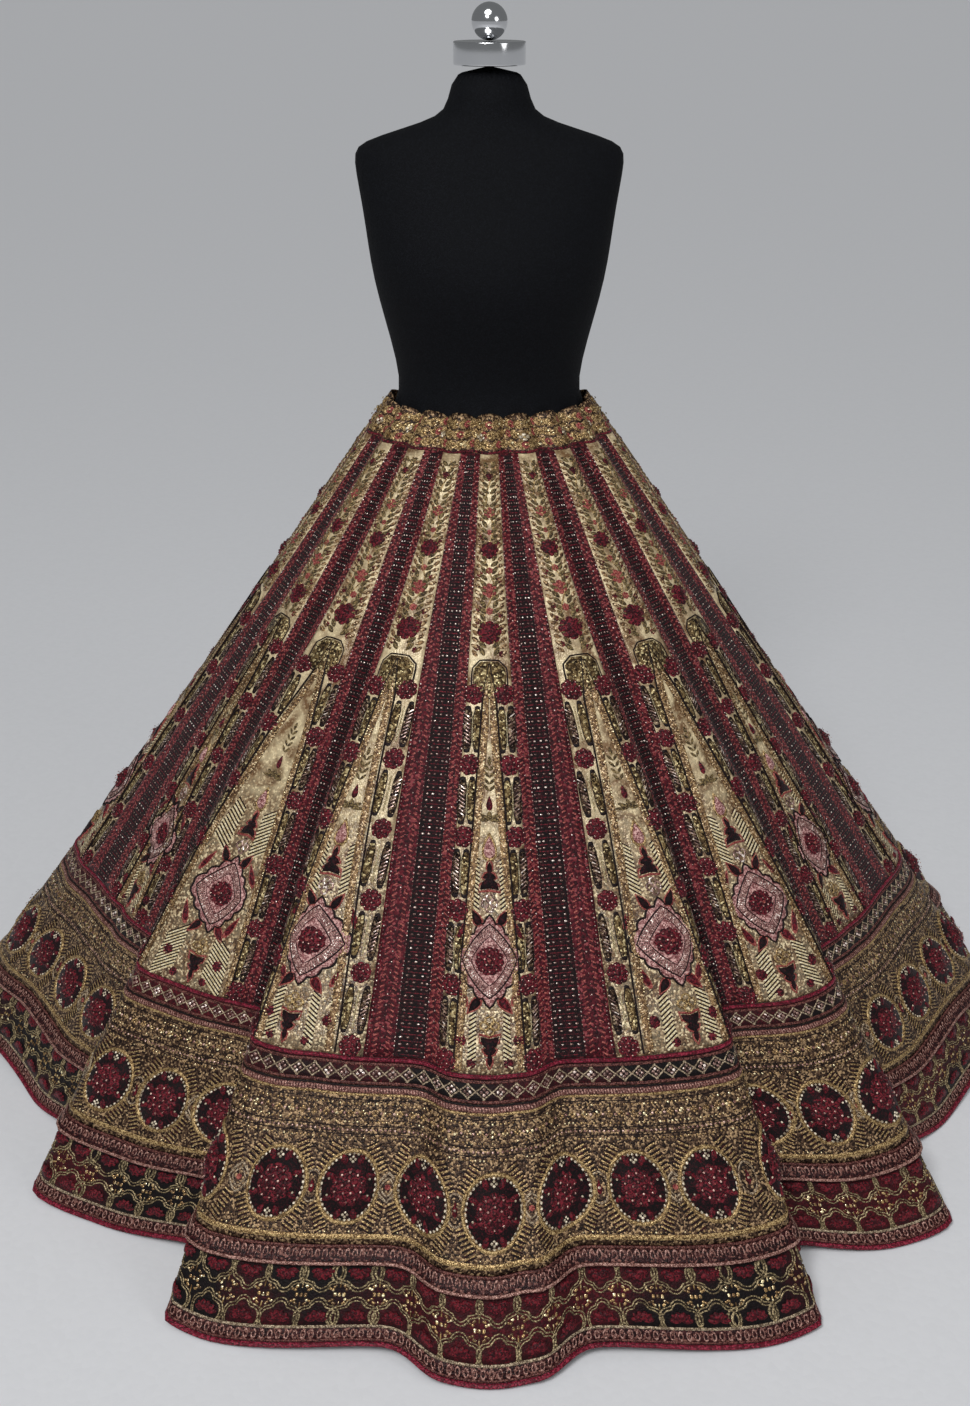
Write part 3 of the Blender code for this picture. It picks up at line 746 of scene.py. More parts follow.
QUARTERS = [math.pi / 2.0 * step for step in range(4)]
SHAPES = {
    "bead": BEAD,
    "leaf": LEAF,
    "bar": BAR,
    "drop": mound(drop, 0.24, 14),
    "drop cord": cord_shape(ring_path(drop, 14, 1.14), 0.16, 0.12),
    "cell": mound(long_cell, 0.10, 12, 0.9),
    "cell cord": cord_shape(ring_path(long_cell, 12, 1.04), 0.10, 0.09),
    "thin cell cord": cord_shape(ring_path(long_cell, 24, 1.02), 0.045, 0.03),
    "spade": mound(spade, 0.12, 18, 0.8),
    "spade cord": cord_shape(ring_path(spade, 18, 1.16), 0.09, 0.08),
    "scallops": mound(scalloped_lozenge, 0.030, 56, 0.9),
    "scallop cord": cord_shape(ring_path(scalloped_lozenge, 56, 1.02), 0.030, 0.035),
    "thin lozenge": cord_shape(ring_path(soft_lozenge, 24), 0.024, 0.022),
    "lozenge cord": cord_shape(ring_path(soft_lozenge, 12), 0.10, 0.06),
    "lozenge beads": bead_ring(soft_lozenge, 60, 0.036),
    "disc": mound(oval, 0.05, 20, 0.93),
    "disc beads": bead_ring(oval, 38, 0.052),
    "disc cord": cord_shape(ring_path(oval, 24), 0.06, 0.04),
    "rose": rose_shape(((8, 0.35, 0.33), (6, 0.24, 0.30), (4, 0.13, 0.24), (1, 0, 0.18)), 0.055),
    "full rose": rose_shape(((11, 0.39, 0.25), (9, 0.30, 0.25), (7, 0.205, 0.22), (5, 0.12, 0.18),
                             (3, 0.055, 0.14), (1, 0, 0.12)), 0.035),
    "rose beads": join_shapes([
        (BEAD, reach * math.sin(angle), reach * math.cos(angle), 0.065, 0.065, 0.0, lift)
        for count, reach, lift in ((10, 0.38, 0.13), (5, 0.17, 0.22))
        for angle in np.arange(count) * 2.0 * math.pi / count
    ]),
    "blossom": rose_shape(((6, 0.30, 0.34), (1, 0.0, 0.30)), 0.05),
    "four beads": fan(BEAD, QUARTERS, 0.30, 0.42, 0.42),
    "five leaves": fan(LEAF, (-1.5, 1.5, -0.8, 0.8, 0.0), 0.28, 0.22, 0.50),
    "lotus": fan(LEAF, (-1.45, 1.45, -0.85, 0.85, -0.3, 0.3), 0.27, 0.34, 0.54),
    "knot": fan(OVAL_RING, QUARTERS, 0.25, 0.42, 0.42),
    "loop": OVAL_RING,
    "cross": join_shapes([
        (cord_shape([(-0.5, -end), (0.0, 0.0), (0.5, end)], 0.095, 0.06), 0, 0, 1, 1, 0, 0)
        for end in (0.5, -0.5)
    ]),
    "arch": join_shapes([
        (cord_shape(arch_path(scale), 0.052, 0.035), 0, 0, 1, 1, 0, 0) for scale in (1.0, 0.87)
    ]),
    "bead tree": join_shapes(
        [(BEAD, 0.30 * math.sin(a), 0.62 + 0.30 * math.cos(a), 0.17, 0.17, 0, 0)
         for a in (0.0, 0.75, -0.75, 1.6, -1.6, 2.4, -2.4)]
        + [(BEAD, x, 0.30 + abs(x) * 0.6, 0.15, 0.15, 0, 0) for x in (-0.42, -0.25, 0.25, 0.42)]
        + [(BAR, 0.0, 0.25, 0.06, 0.5, 0, 0)]
    ),
}

# Laying the shapes on the cloth
PLACES = {}
CORDS = {}


def put(kind, shape, turn, across, down, width, height=None, angle=0.0, out=CLOTH):
    """Note where a shape of one kind is sewn: a turn, or many, and metres across from it."""
    height = width if height is None else height
    rows = np.broadcast_arrays(turn, across, down, width, height, angle, out)
    rows = np.stack([np.asarray(row, dtype=float) for row in rows], axis=-1).reshape(-1, 7)
    PLACES.setdefault(kind, {}).setdefault(shape, []).append(rows)


def copies(shape, rows):
    """Cloth coordinates and triangles of a shape repeated at rows of places."""
    points, triangles = SHAPES[shape]
    turn, across, down, width, height, angle, out = rows.T[..., None]
    base = turn + across / pitch(turn, down)
    side, up = points[:, 0] * width, points[:, 1] * height
    turns = base + (side * np.cos(angle) - up * np.sin(angle)) / pitch(base, down)
    downs = down - (side * np.sin(angle) + up * np.cos(angle))
    outs = out + points[:, 2] * np.minimum(width, height)
    shifts = len(points) * np.arange(len(rows))[:, None, None]
    return turns.ravel(), downs.ravel(), outs.ravel(), (triangles + shifts).reshape(-1, 3)


def lay_cord(kind, turns, downs, width, rise, out=CLOTH):
    """Half-round cord, or a flat ribbon where rise is small, along a line of places."""
    turns, downs, width = np.broadcast_arrays(*(np.asarray(item, float) for item in (turns, downs, width)))
    strip, triangles, places = ribbon(len(turns))
    pitches = pitch(turns, downs)
    step_x, step_y = np.gradient(turns) * pitches, np.gradient(downs)
    length = np.hypot(step_x, step_y)
    side = strip[:, 0] * width[places]
    all_turns = turns[places] - side * (step_y / length / pitches)[places]
    all_downs = downs[places] + side * (step_x / length)[places]
    all_outs = out + rise * (abs(strip[:, 0]) < 0.1)
    CORDS.setdefault(kind, []).append((all_turns, all_downs, all_outs, triangles))


def even_turns(count, down):
    """Turns of places spaced evenly round the cloth."""
    turns = np.linspace(-KALIS / 2.0, KALIS / 2.0, 3000)
    widths = pitch(turns, down)
    lengths = np.concatenate([[0.0], np.cumsum((widths[1:] + widths[:-1]) / 2.0 * np.diff(turns))])
    return np.interp(np.linspace(0.0, lengths[-1], count, endpoint=False), lengths, turns)


def ring_cord(kind, down, width, rise, out=CLOTH):
    """Cord all the way round the skirt."""
    lay_cord(kind, np.linspace(-KALIS / 2.0, KALIS / 2.0, RING_STEPS), down, width, rise, out)


def ring_row(kind, shape, count, down, width, height=None, out=CLOTH, shift=0.0, angle=0.0):
    """Row of shapes spaced evenly all the way round the skirt."""
    turns = even_turns(count, down)
    turns = turns + shift * np.diff(np.append(turns, turns[0] + KALIS))
    put(kind, shape, turns, 0.0, down, width, height, angle, out)


def sew(kind, material):
    """Make one piece of all the embroidery of one kind."""
    laid = [copies(shape, np.concatenate(rows)) for shape, rows in PLACES.get(kind, {}).items()]
    laid += CORDS.get(kind, [])
    starts = np.cumsum([0] + [len(item[0]) for item in laid])
    triangles = np.concatenate([item[3] + start for item, start in zip(laid, starts)])
    points = on_cloth(*(np.concatenate([item[part] for item in laid]) for part in range(3)))
    mesh = bpy.data.meshes.new(kind)
    mesh.from_pydata(points.tolist(), [], triangles.tolist())
    add_piece(mesh, material)


# Gold gores
CHAIN_WIDTH = 0.021
CHAIN_PITCH = 0.0895
CELL_WIDTH = 0.0104
CELL_LENGTH = 0.0530
FIRST_ROSE = 0.316
SPEAR_TIP = 0.277
MEDALLION_AT = 0.643
STATIONS = np.linspace(0.0, KALI_LENGTH, 90)
HALF_WIDTHS = [gore_share(STATIONS) * pitch(kali, STATIONS) for kali in range(KALIS)]


def half_width(kali, down):
    """Half the width of a gold gore, in metres."""
    return np.interp(down, STATIONS, HALF_WIDTHS[kali])


# Drops round a medallion: place across and up from its middle, width, height, angle and kind
MEDALLION_DROPS = (
    (-0.017, 0.052, 0.012, 0.021, 0.55, "dark_pads"),
    (0.017, 0.052, 0.012, 0.021, -0.55, "dark_pads"),
    (-0.033, 0.036, 0.008, 0.028, -0.45, "red_pads"),
    (0.033, 0.036, 0.008, 0.028, 0.45, "red_pads"),
    (-0.034, -0.038, 0.009, 0.028, 0.40, "red_pads"),
    (0.034, -0.038, 0.009, 0.028, -0.40, "red_pads"),
    (-0.019, -0.053, 0.012, 0.021, 2.45, "dark_pads"),
    (0.019, -0.053, 0.012, 0.021, -2.45, "red_pads"),
)


def work_vine(kali):
    """Vine, leaves and flowers on the narrow upper part."""
    downs = np.linspace(0.010, 0.262, 36)
    swing = 0.30 * half_width(kali, downs) * np.sin(downs * 80.0)
    lay_cord("gold_cords", kali + swing / pitch(kali, downs), downs, 0.0020, 0.0012)
    downs = np.arange(0.014, 0.268, 0.0088)
    reach = half_width(kali, downs)
    width = 0.0048 + 0.09 * reach
    for side in (-1.0, 1.0):
        lean = side * (0.75 + 0.3 * np.sin(downs * 310.0 + kali))
        put("olive_leaves", "leaf", kali, -side * reach * 0.36, downs, width, width * 1.9, lean)
        put("gold_pads", "leaf", kali, -side * reach * 0.74, downs + 0.003, width * 0.9, width * 1.7,
            lean * 1.3)
    for down, size in ((0.030, 0.011), (0.128, 0.023), (0.236, 0.031)):
        put("roses", "rose", kali, 0.0, down, size)
    for down, size in ((0.078, 0.016), (0.181, 0.021), (0.104, 0.008), (0.155, 0.010), (0.208, 0.011)):
        put("coral_cords", "blossom", kali, 0.0, down, size)
    for down in (0.112, 0.160, 0.205, 0.222, 0.256):
        across = 0.62 * half_width(kali, down)
        put("red_pads", "blossom", kali, (-across, across), (down, down + 0.008), 0.009)


def chain_middle(kali, side, down):
    """Metres across from a gore's middle to the middle of its chain."""
    return side * (half_width(kali, down) - CHAIN_WIDTH / 2.0)


def work_chain(kali, side):
    """Roses and honeycomb cells down one edge of a gore."""
    for number in range(6):
        down = FIRST_ROSE + CHAIN_PITCH * number
        middle = chain_middle(kali, side, down)
        size = 0.0275 + 0.0012 * math.sin(7.0 * kali + 3.0 * number)
        put("roses", "rose", kali, middle, down, size, size, 1.3 * number + kali)
        put("pink_beads", "rose beads", kali, middle, down, size, size, 1.3 * number)
        down += CHAIN_PITCH / 2.0
        if down > KALI_LENGTH - CELL_LENGTH / 2.0:
            continue
        middle = chain_middle(kali, side, down)
        for lean, kind in ((-side, "sequins"), (side, "night_sequins")):
            across = middle + lean * 0.0062
            put(kind, "cell", kali, across, down, CELL_WIDTH, CELL_LENGTH)
            put("brown_cords", "cell cord", kali, across, down, CELL_WIDTH, CELL_LENGTH)
            # The bar between the cells comes with each of them, and the two layers shade each other
            put("cream_cords", "bar", kali, middle, down, 0.0024, 0.046)
        rungs = down + np.linspace(-0.017, 0.017, 8)
        put("silver_beads", "bar", kali, across, rungs, 0.0084, 0.0012, side * 0.6, CLOTH + 0.0011)


def work_spear(kali):
    """Spear that opens out towards the border, with its edge cords and gold bands."""
    put("sequins", "cell", kali, 0.0, 0.296, 0.044, 0.048, 0.0, CLOTH - 0.002)
    put("brown_cords", "thin cell cord", kali, 0.0, 0.296, 0.044, 0.048)
    downs = np.linspace(SPEAR_TIP, KALI_LENGTH - 0.002, 48)
    reach = np.minimum(0.21 * (downs - SPEAR_TIP), half_width(kali, downs) - CHAIN_WIDTH)
    reach = np.maximum(reach, 0.0004)
    metres = pitch(kali, downs)
    band = np.clip(reach - 0.0012, 0.0004, 0.0095)
    for side in (-1.0, 1.0):
        lay_cord("brown_cords", kali + side * reach / metres, downs, 0.0024, 0.0024, CLOTH + 0.0008)
        middle = kali + side * (reach - 0.0008 - band / 2.0) / metres
        lay_cord("gold_pads", middle, downs, band, 0.0016, CLOTH + 0.0007)
        for share in (-0.28, 0.28):
            spots = np.arange(SPEAR_TIP + 0.045, KALI_LENGTH - 0.004, 0.0036)
            inner = np.interp(spots, downs, reach - 0.0008 - band * (0.5 + share))
            put("gold_beads", "bead", kali, side * inner, spots, 0.0024, out=CLOTH + 0.0019)


# Down the middle of a spear: kind, shape, metres down, width, height and angle
SPEAR_ROWS = (
    ("olive_leaves", "leaf", 0.400, 0.005, 0.012, 0.0),
    ("roses", "drop", 0.452, 0.0095, 0.019, 0.0),
    ("olive_leaves", "five leaves", 0.474, 0.030, 0.022, 0.0),
    ("pink_satin", "drop", 0.506, 0.017, 0.028, 0.0),
    ("gold_cords", "drop cord", 0.506, 0.017, 0.028, 0.0),
    ("dark_pads", "spade", 0.542, 0.025, 0.036, 0.0),
    ("coral_cords", "spade cord", 0.542, 0.025, 0.036, 0.0),
    ("silver_beads", "knot", 0.574, 0.020, 0.024, 0.0),
    ("gold_cords", "knot", 0.719, 0.025, 0.024, 0.0),
    ("brown_cords", "blossom", 0.719, 0.009, 0.009, 0.0),
    ("dark_pads", "spade", 0.748, 0.025, 0.036, math.pi),
    ("coral_cords", "spade cord", 0.748, 0.025, 0.036, math.pi),
)


def work_comb(kali, down, inner, wide, lean):
    """A tooth of comb hatching on each side of the middle: a dark bar with a cream one under it."""
    middles = (-inner - wide / 2.0, inner + wide / 2.0)
    leans = (-lean, lean)
    put("dark_pads", "bar", kali, middles, down, wide, 0.0019, leans, CLOTH + 0.0004)
    put("cream_cords", "bar", kali, middles, down + 0.0026, wide, 0.0026, leans, CLOTH + 0.0002)


def work_spear_middle(kali):
    """Sprig, bud, drop, spade and comb hatching above and below the medallion."""
    for down in 0.408 + 0.0085 * np.arange(4):
        put("olive_leaves", "leaf", kali, (-0.0035, 0.0035), down, 0.0042, 0.011, (0.7, -0.7))
    for kind, shape, down, width, height, angle in SPEAR_ROWS:
        put(kind, shape, kali, 0.0, down, width, height, angle)
    for step in range(12):
        wide = half_width(kali, 0.532) - CHAIN_WIDTH - 0.022 + 0.0012 * step
        work_comb(kali, 0.520 + 0.0052 * step, 0.011, max(wide, 0.010), 0.62)
        down = 0.706 + 0.0052 * step
        wide = half_width(kali, down) - CHAIN_WIDTH - 0.030
        work_comb(kali, down, 0.015, max(wide, 0.010), -0.62)
    for across, down, size in ((0.036, 0.737, 0.016), (0.022, 0.763, 0.012)):
        put("roses", "rose", kali, (-across, across), down, size)


def work_rose(turn, down, width, height, angle, bud, bud_lift):
    """Full rose with rings of beads and a coral bud."""
    put("roses", "full rose", turn, 0.0, down, width, height, angle, CLOTH + 0.0026)
    put("pink_beads", "rose beads", turn, 0.0, down, width, height, 0.0, CLOTH + 0.0034)
    put("coral_cords", "bead", turn, 0.0, down, bud, bud, 0.0, CLOTH + bud_lift)


def work_medallion(kali):
    """Scalloped satin diamond with a beaded band, a rose and drops round it."""
    put("pink_satin", "scallops", kali, 0.0, MEDALLION_AT, 0.080, 0.106)
    put("brown_cords", "scallop cord", kali, 0.0, MEDALLION_AT, 0.080, 0.106)
    for kind, shape, scales, out in (
        ("silver_beads", "lozenge beads", (0.80, 0.74, 0.68, 0.62), CLOTH + 0.0026),
        ("brown_cords", "thin lozenge", (0.86, 0.57), CLOTH + 0.0020),
    ):
        scales = np.array(scales)
        put(kind, shape, kali, 0.0, MEDALLION_AT, 0.076 * scales, 0.102 * scales, 0.0, out)
    work_rose(kali, MEDALLION_AT, 0.034, 0.034, 0.4 * kali, 0.005, 0.0095)
    for across, up, width, height, angle, kind in MEDALLION_DROPS:
        put(kind, "drop", kali, across, MEDALLION_AT - up, width, height, angle)
        put("coral_cords", "drop cord", kali, across, MEDALLION_AT - up, width, height, angle)


def work_stripe(kali):
    """Beading of one maroon stripe: a dark middle with rungs of beads, and sequins beside it."""
    middle = kali + 0.5

    def spaced(first, step):
        """Distances down, and half the stripe's width there in kalis and in metres."""
        downs = np.arange(first, KALI_LENGTH - 0.004, step)
        half = 0.5 - gore_share(downs)
        return downs, half, half * pitch(middle, downs)

    downs = np.linspace(0.004, KALI_LENGTH - 0.002, 50)
    reach = (0.5 - gore_share(downs)) * pitch(middle, downs)
    lay_cord("dark_pads", middle, downs, 0.84 * reach, 0.0003, CLOTH + 0.0003)
    downs, half, _ = spaced(0.006, 0.0052)
    for share in (-0.95, -0.43, 0.43, 0.95):
        put("silver_beads", "bead", middle + share * half, 0.0, downs, 0.0020)
    downs, half, reach = spaced(0.010, 0.0084)
    for share in (-0.31, -0.13, 0.13, 0.31):
        put("silver_beads", "bead", middle + share * half, 0.0, downs, 0.11 * reach, 0.0024, 0.0,
            CLOTH + 0.0006)
    put("red_pads", "bar", middle, 0.0, downs + 0.0042, 0.62 * reach, 0.0012, 0.0, CLOTH + 0.0006)
    downs, half, reach = spaced(0.008, 0.0066)
    for share, lean in ((-0.82, 0.5), (-0.57, -0.5), (0.57, 0.5), (0.82, -0.5)):
        shifted = downs + (0.0033 if lean < 0.0 else 0.0)
        put("coral_cords", "bar", middle + share * half, 0.0, shifted, 0.15 * reach, 0.0019, lean)
    downs, half, _ = spaced(0.0115, 0.0132)
    for share in (-0.70, 0.70):
        put("silver_beads", "bead", middle + share * half, 0.0, downs, 0.0021)


for kali in range(KALIS):
    work_vine(kali)
    work_chain(kali, -1.0)
    work_chain(kali, 1.0)
    work_spear(kali)
    work_spear_middle(kali)
    work_medallion(kali)
    work_stripe(kali)


# Lattice, gold border and pink trim
LATTICE_CELLS = 216
ROSETTES = 54
ROSETTE_AT = 0.931
LOOPS = 600


def work_lattice():
    """Crossed cords with a flower of four beads in each diamond, between cord lines."""
    middle = (LATTICE_TOP + GOLD_TOP) / 2.0
    ring_row("beige_cords", "cross", LATTICE_CELLS, middle, 0.0222, 0.0180)
    ring_row("silver_beads", "four beads", LATTICE_CELLS, middle, 0.0110, shift=0.5)
    ring_cord("pink_cords", LATTICE_TOP + 0.0026, 0.0036, 0.0014)
    ring_cord("pink_cords", GOLD_TOP - 0.0024, 0.0036, 0.0014)
    ring_cord("brown_cords", GOLD_TOP + 0.0016, 0.0026, 0.0010)
    ring_cord("pink_cords", GOLD_TOP + 0.0064, 0.0070, 0.0008)
    ring_row("pale_loops", "bar", 1200, GOLD_TOP + 0.0064, 0.0018, 0.0052, CLOTH + 0.0006, 0.0, 0.25)
    ring_cord("gold_cords", GOLD_TOP + 0.0118, 0.0030, 0.0014)


def work_gold_bands():
    """Sequin bands above the rosettes and the cord under them."""
    for down in (0.8270, 0.8585, 0.8680):
        ring_cord("brown_cords", down, 0.0012, 0.0007)
    ring_row("gold_beads", "four beads", 300, 0.8430, 0.0090)
    ring_row("pink_beads", "bead", 300, 0.8430, 0.0034, shift=0.5)
    for down, kind, count in ((0.8315, "gold_beads", 900), (0.8535, "gold_beads", 900),
                              (0.8632, "pink_beads", 800), (0.8725, "gold_beads", 900)):
        ring_row(kind, "bead", count, down, 0.0028)
    ring_cord("gold_cords", 0.9900, 0.0062, 0.0018)
    ring_row("gold_beads", "bead", 900, 0.9840, 0.0026)


def work_rosettes():
    """Oval rosettes: a dark ground in a ring of pearls, with a rose, leaves and beads."""
    turns = even_turns(ROSETTES, ROSETTE_AT)
    put("dark_pads", "disc", turns, 0.0, ROSETTE_AT, 0.066, 0.079)
    put("pearls", "disc beads", turns, 0.0, ROSETTE_AT, 0.0655, 0.0785, 0.0, CLOTH + 0.0008)
    put("gold_cords", "disc cord", turns, 0.0, ROSETTE_AT, 0.074, 0.087)
    work_rose(turns, ROSETTE_AT, 0.043, 0.047, 0.0, 0.0045, 0.0100)
    for number in range(8):
        angle = 2.0 * math.pi * (number + 0.5) / 8
        across, up = 0.0252 * math.sin(angle), 0.0345 * math.cos(angle)
        put("red_pads", "leaf", turns, across, ROSETTE_AT - up, 0.009, 0.015, -angle, CLOTH + 0.0020)
        if number % 4 in (1, 2):
            put("pearls", "bead", turns, across * 1.05, ROSETTE_AT - up * 0.75, 0.0032, out=CLOTH + 0.0045)
    for up in (0.0330, -0.0330):
        put("pearls", "four beads", turns, 0.0, ROSETTE_AT - up, 0.0090, out=CLOTH + 0.0026)


def work_between_rosettes():
    """Eyes and diamonds in turn between the rosettes, with comb hatching above and below."""
    turns = even_turns(ROSETTES * 2, ROSETTE_AT)[1::2]
    eyes, diamonds = turns[::2], turns[1::2]
    put("beige_cords", "disc cord", eyes, 0.0, ROSETTE_AT, 0.021, 0.038)
    put("brown_cords", "disc cord", eyes, 0.0, ROSETTE_AT, 0.016, 0.031)
    put("red_pads", "drop", eyes, 0.0, ROSETTE_AT - 0.001, 0.008, 0.018)
    put("pearls", "bead", eyes, 0.0, ROSETTE_AT, 0.0036, out=CLOTH + 0.0018)
    for size in (0.026, 0.017):
        put("beige_cords", "lozenge cord", diamonds, 0.0, ROSETTE_AT, size, size * 1.35)
    put("coral_cords", "blossom", diamonds, 0.0, ROSETTE_AT, 0.008)
    for side, way in ((-1.0, -1.0), (-1.0, 1.0), (1.0, -1.0), (1.0, 1.0)):
        for step in range(7):
            across = side * (0.0075 + 0.0022 * step)
            down = ROSETTE_AT - way * (0.0215 + 0.0050 * step)
            lean = -side * way * 0.50
            put("dark_pads", "bar", turns, across, down, 0.0150, 0.0019, lean, CLOTH + 0.0003)
            put("gold_cords", "bar", turns, across, down + 0.0025 * way, 0.0140, 0.0018, lean)


def work_pink_trims():
    """Loops, cord lines and a pale lower edge on the border's trim and on the hem's."""
    ring_row("pale_loops", "loop", LOOPS, TRIM_TOP + 0.0115, 0.0056, 0.0120, CLOTH + 0.0028)
    ring_cord("pink_cords", TRIM_TOP + 0.0025, 0.0034, 0.0014, CLOTH + 0.0006)
    ring_cord("pale_loops", TRIM_END - 0.0022, 0.0044, 0.0020, CLOTH + 0.0052)
    ring_row("pale_loops", "loop", LOOPS, HEM_TRIM_TOP + 0.0100, 0.0054, 0.0098, 0.0)
    ring_cord("beige_cords", HEM_TRIM_TOP + 0.0012, 0.0034, 0.0014, 0.0)
    ring_cord("pink_cords", HEM_PIPING_TOP - 0.0020, 0.0026, 0.0012, 0.0)


# Flounce
ARCHES = 126


def work_flounce():
    """Two rows of arches that meet foot to foot, with a lotus in each and bead trees between."""
    top, bottom = TRIM_END - 0.001, HEM_TRIM_TOP
    middle = (top + bottom) / 2.0
    height = (bottom - middle) * 0.96
    turns = even_turns(ARCHES, middle)
    steps = np.diff(np.append(turns, turns[0] + KALIS))
    wide = steps * pitch(turns, middle)
    between = turns + 0.5 * steps
    for start, way in ((bottom, 1.0), (top, -1.0)):
        angle = 0.0 if way > 0.0 else math.pi
        put("trellis_cords", "arch", turns, 0.0, start, wide, height, angle, 0.0)
        put("red_pads", "lotus", turns, 0.0, start - way * 0.0072, 0.027, 0.022, angle, 0.0)
        put("coral_cords", "bead", turns, 0.0, start - way * 0.012, 0.0036, out=0.0022)
        put("gold_beads", "bead tree", between, 0.0, middle + way * 0.019, 0.0260, 0.0215, angle, 0.0)


def work_waistband():
    """Bead flowers, leaves and pearl clusters on the band, and the maroon line along its lower edge."""
    lay_cord("roses", np.linspace(-KALIS / 2.0, KALIS / 2.0, 400), -0.0022, 0.0034, 0.0016)
    turns = np.arange(-9.0, 9.0, 0.25)
    for row, height in enumerate((0.012, 0.026, 0.040)):
        shifted = turns + 0.125 * (row % 2)
        for start, kind in enumerate(("gold_beads", "coral_cords", "gold_cords")):
            spots = shifted[(start + row) % 3::3]
            put(kind, "blossom", spots, 0.0, -height, 0.0115)
            put("gold_beads", "bead", spots, 0.0, -height, 0.0036, out=CLOTH + 0.0030)
        for lean in (-0.9, 0.9):
            put("gold_cords", "leaf", shifted + 0.125, 0.0, -height + 0.003 * lean, 0.0055, 0.0125, lean)
    put("pearls", "four beads", np.arange(-8.6, 9.0, 1.2), 0.0, -0.022, 0.0115, out=CLOTH + 0.0022)


work_lattice()
work_gold_bands()
work_rosettes()
work_between_rosettes()
work_pink_trims()
work_flounce()
work_waistband()
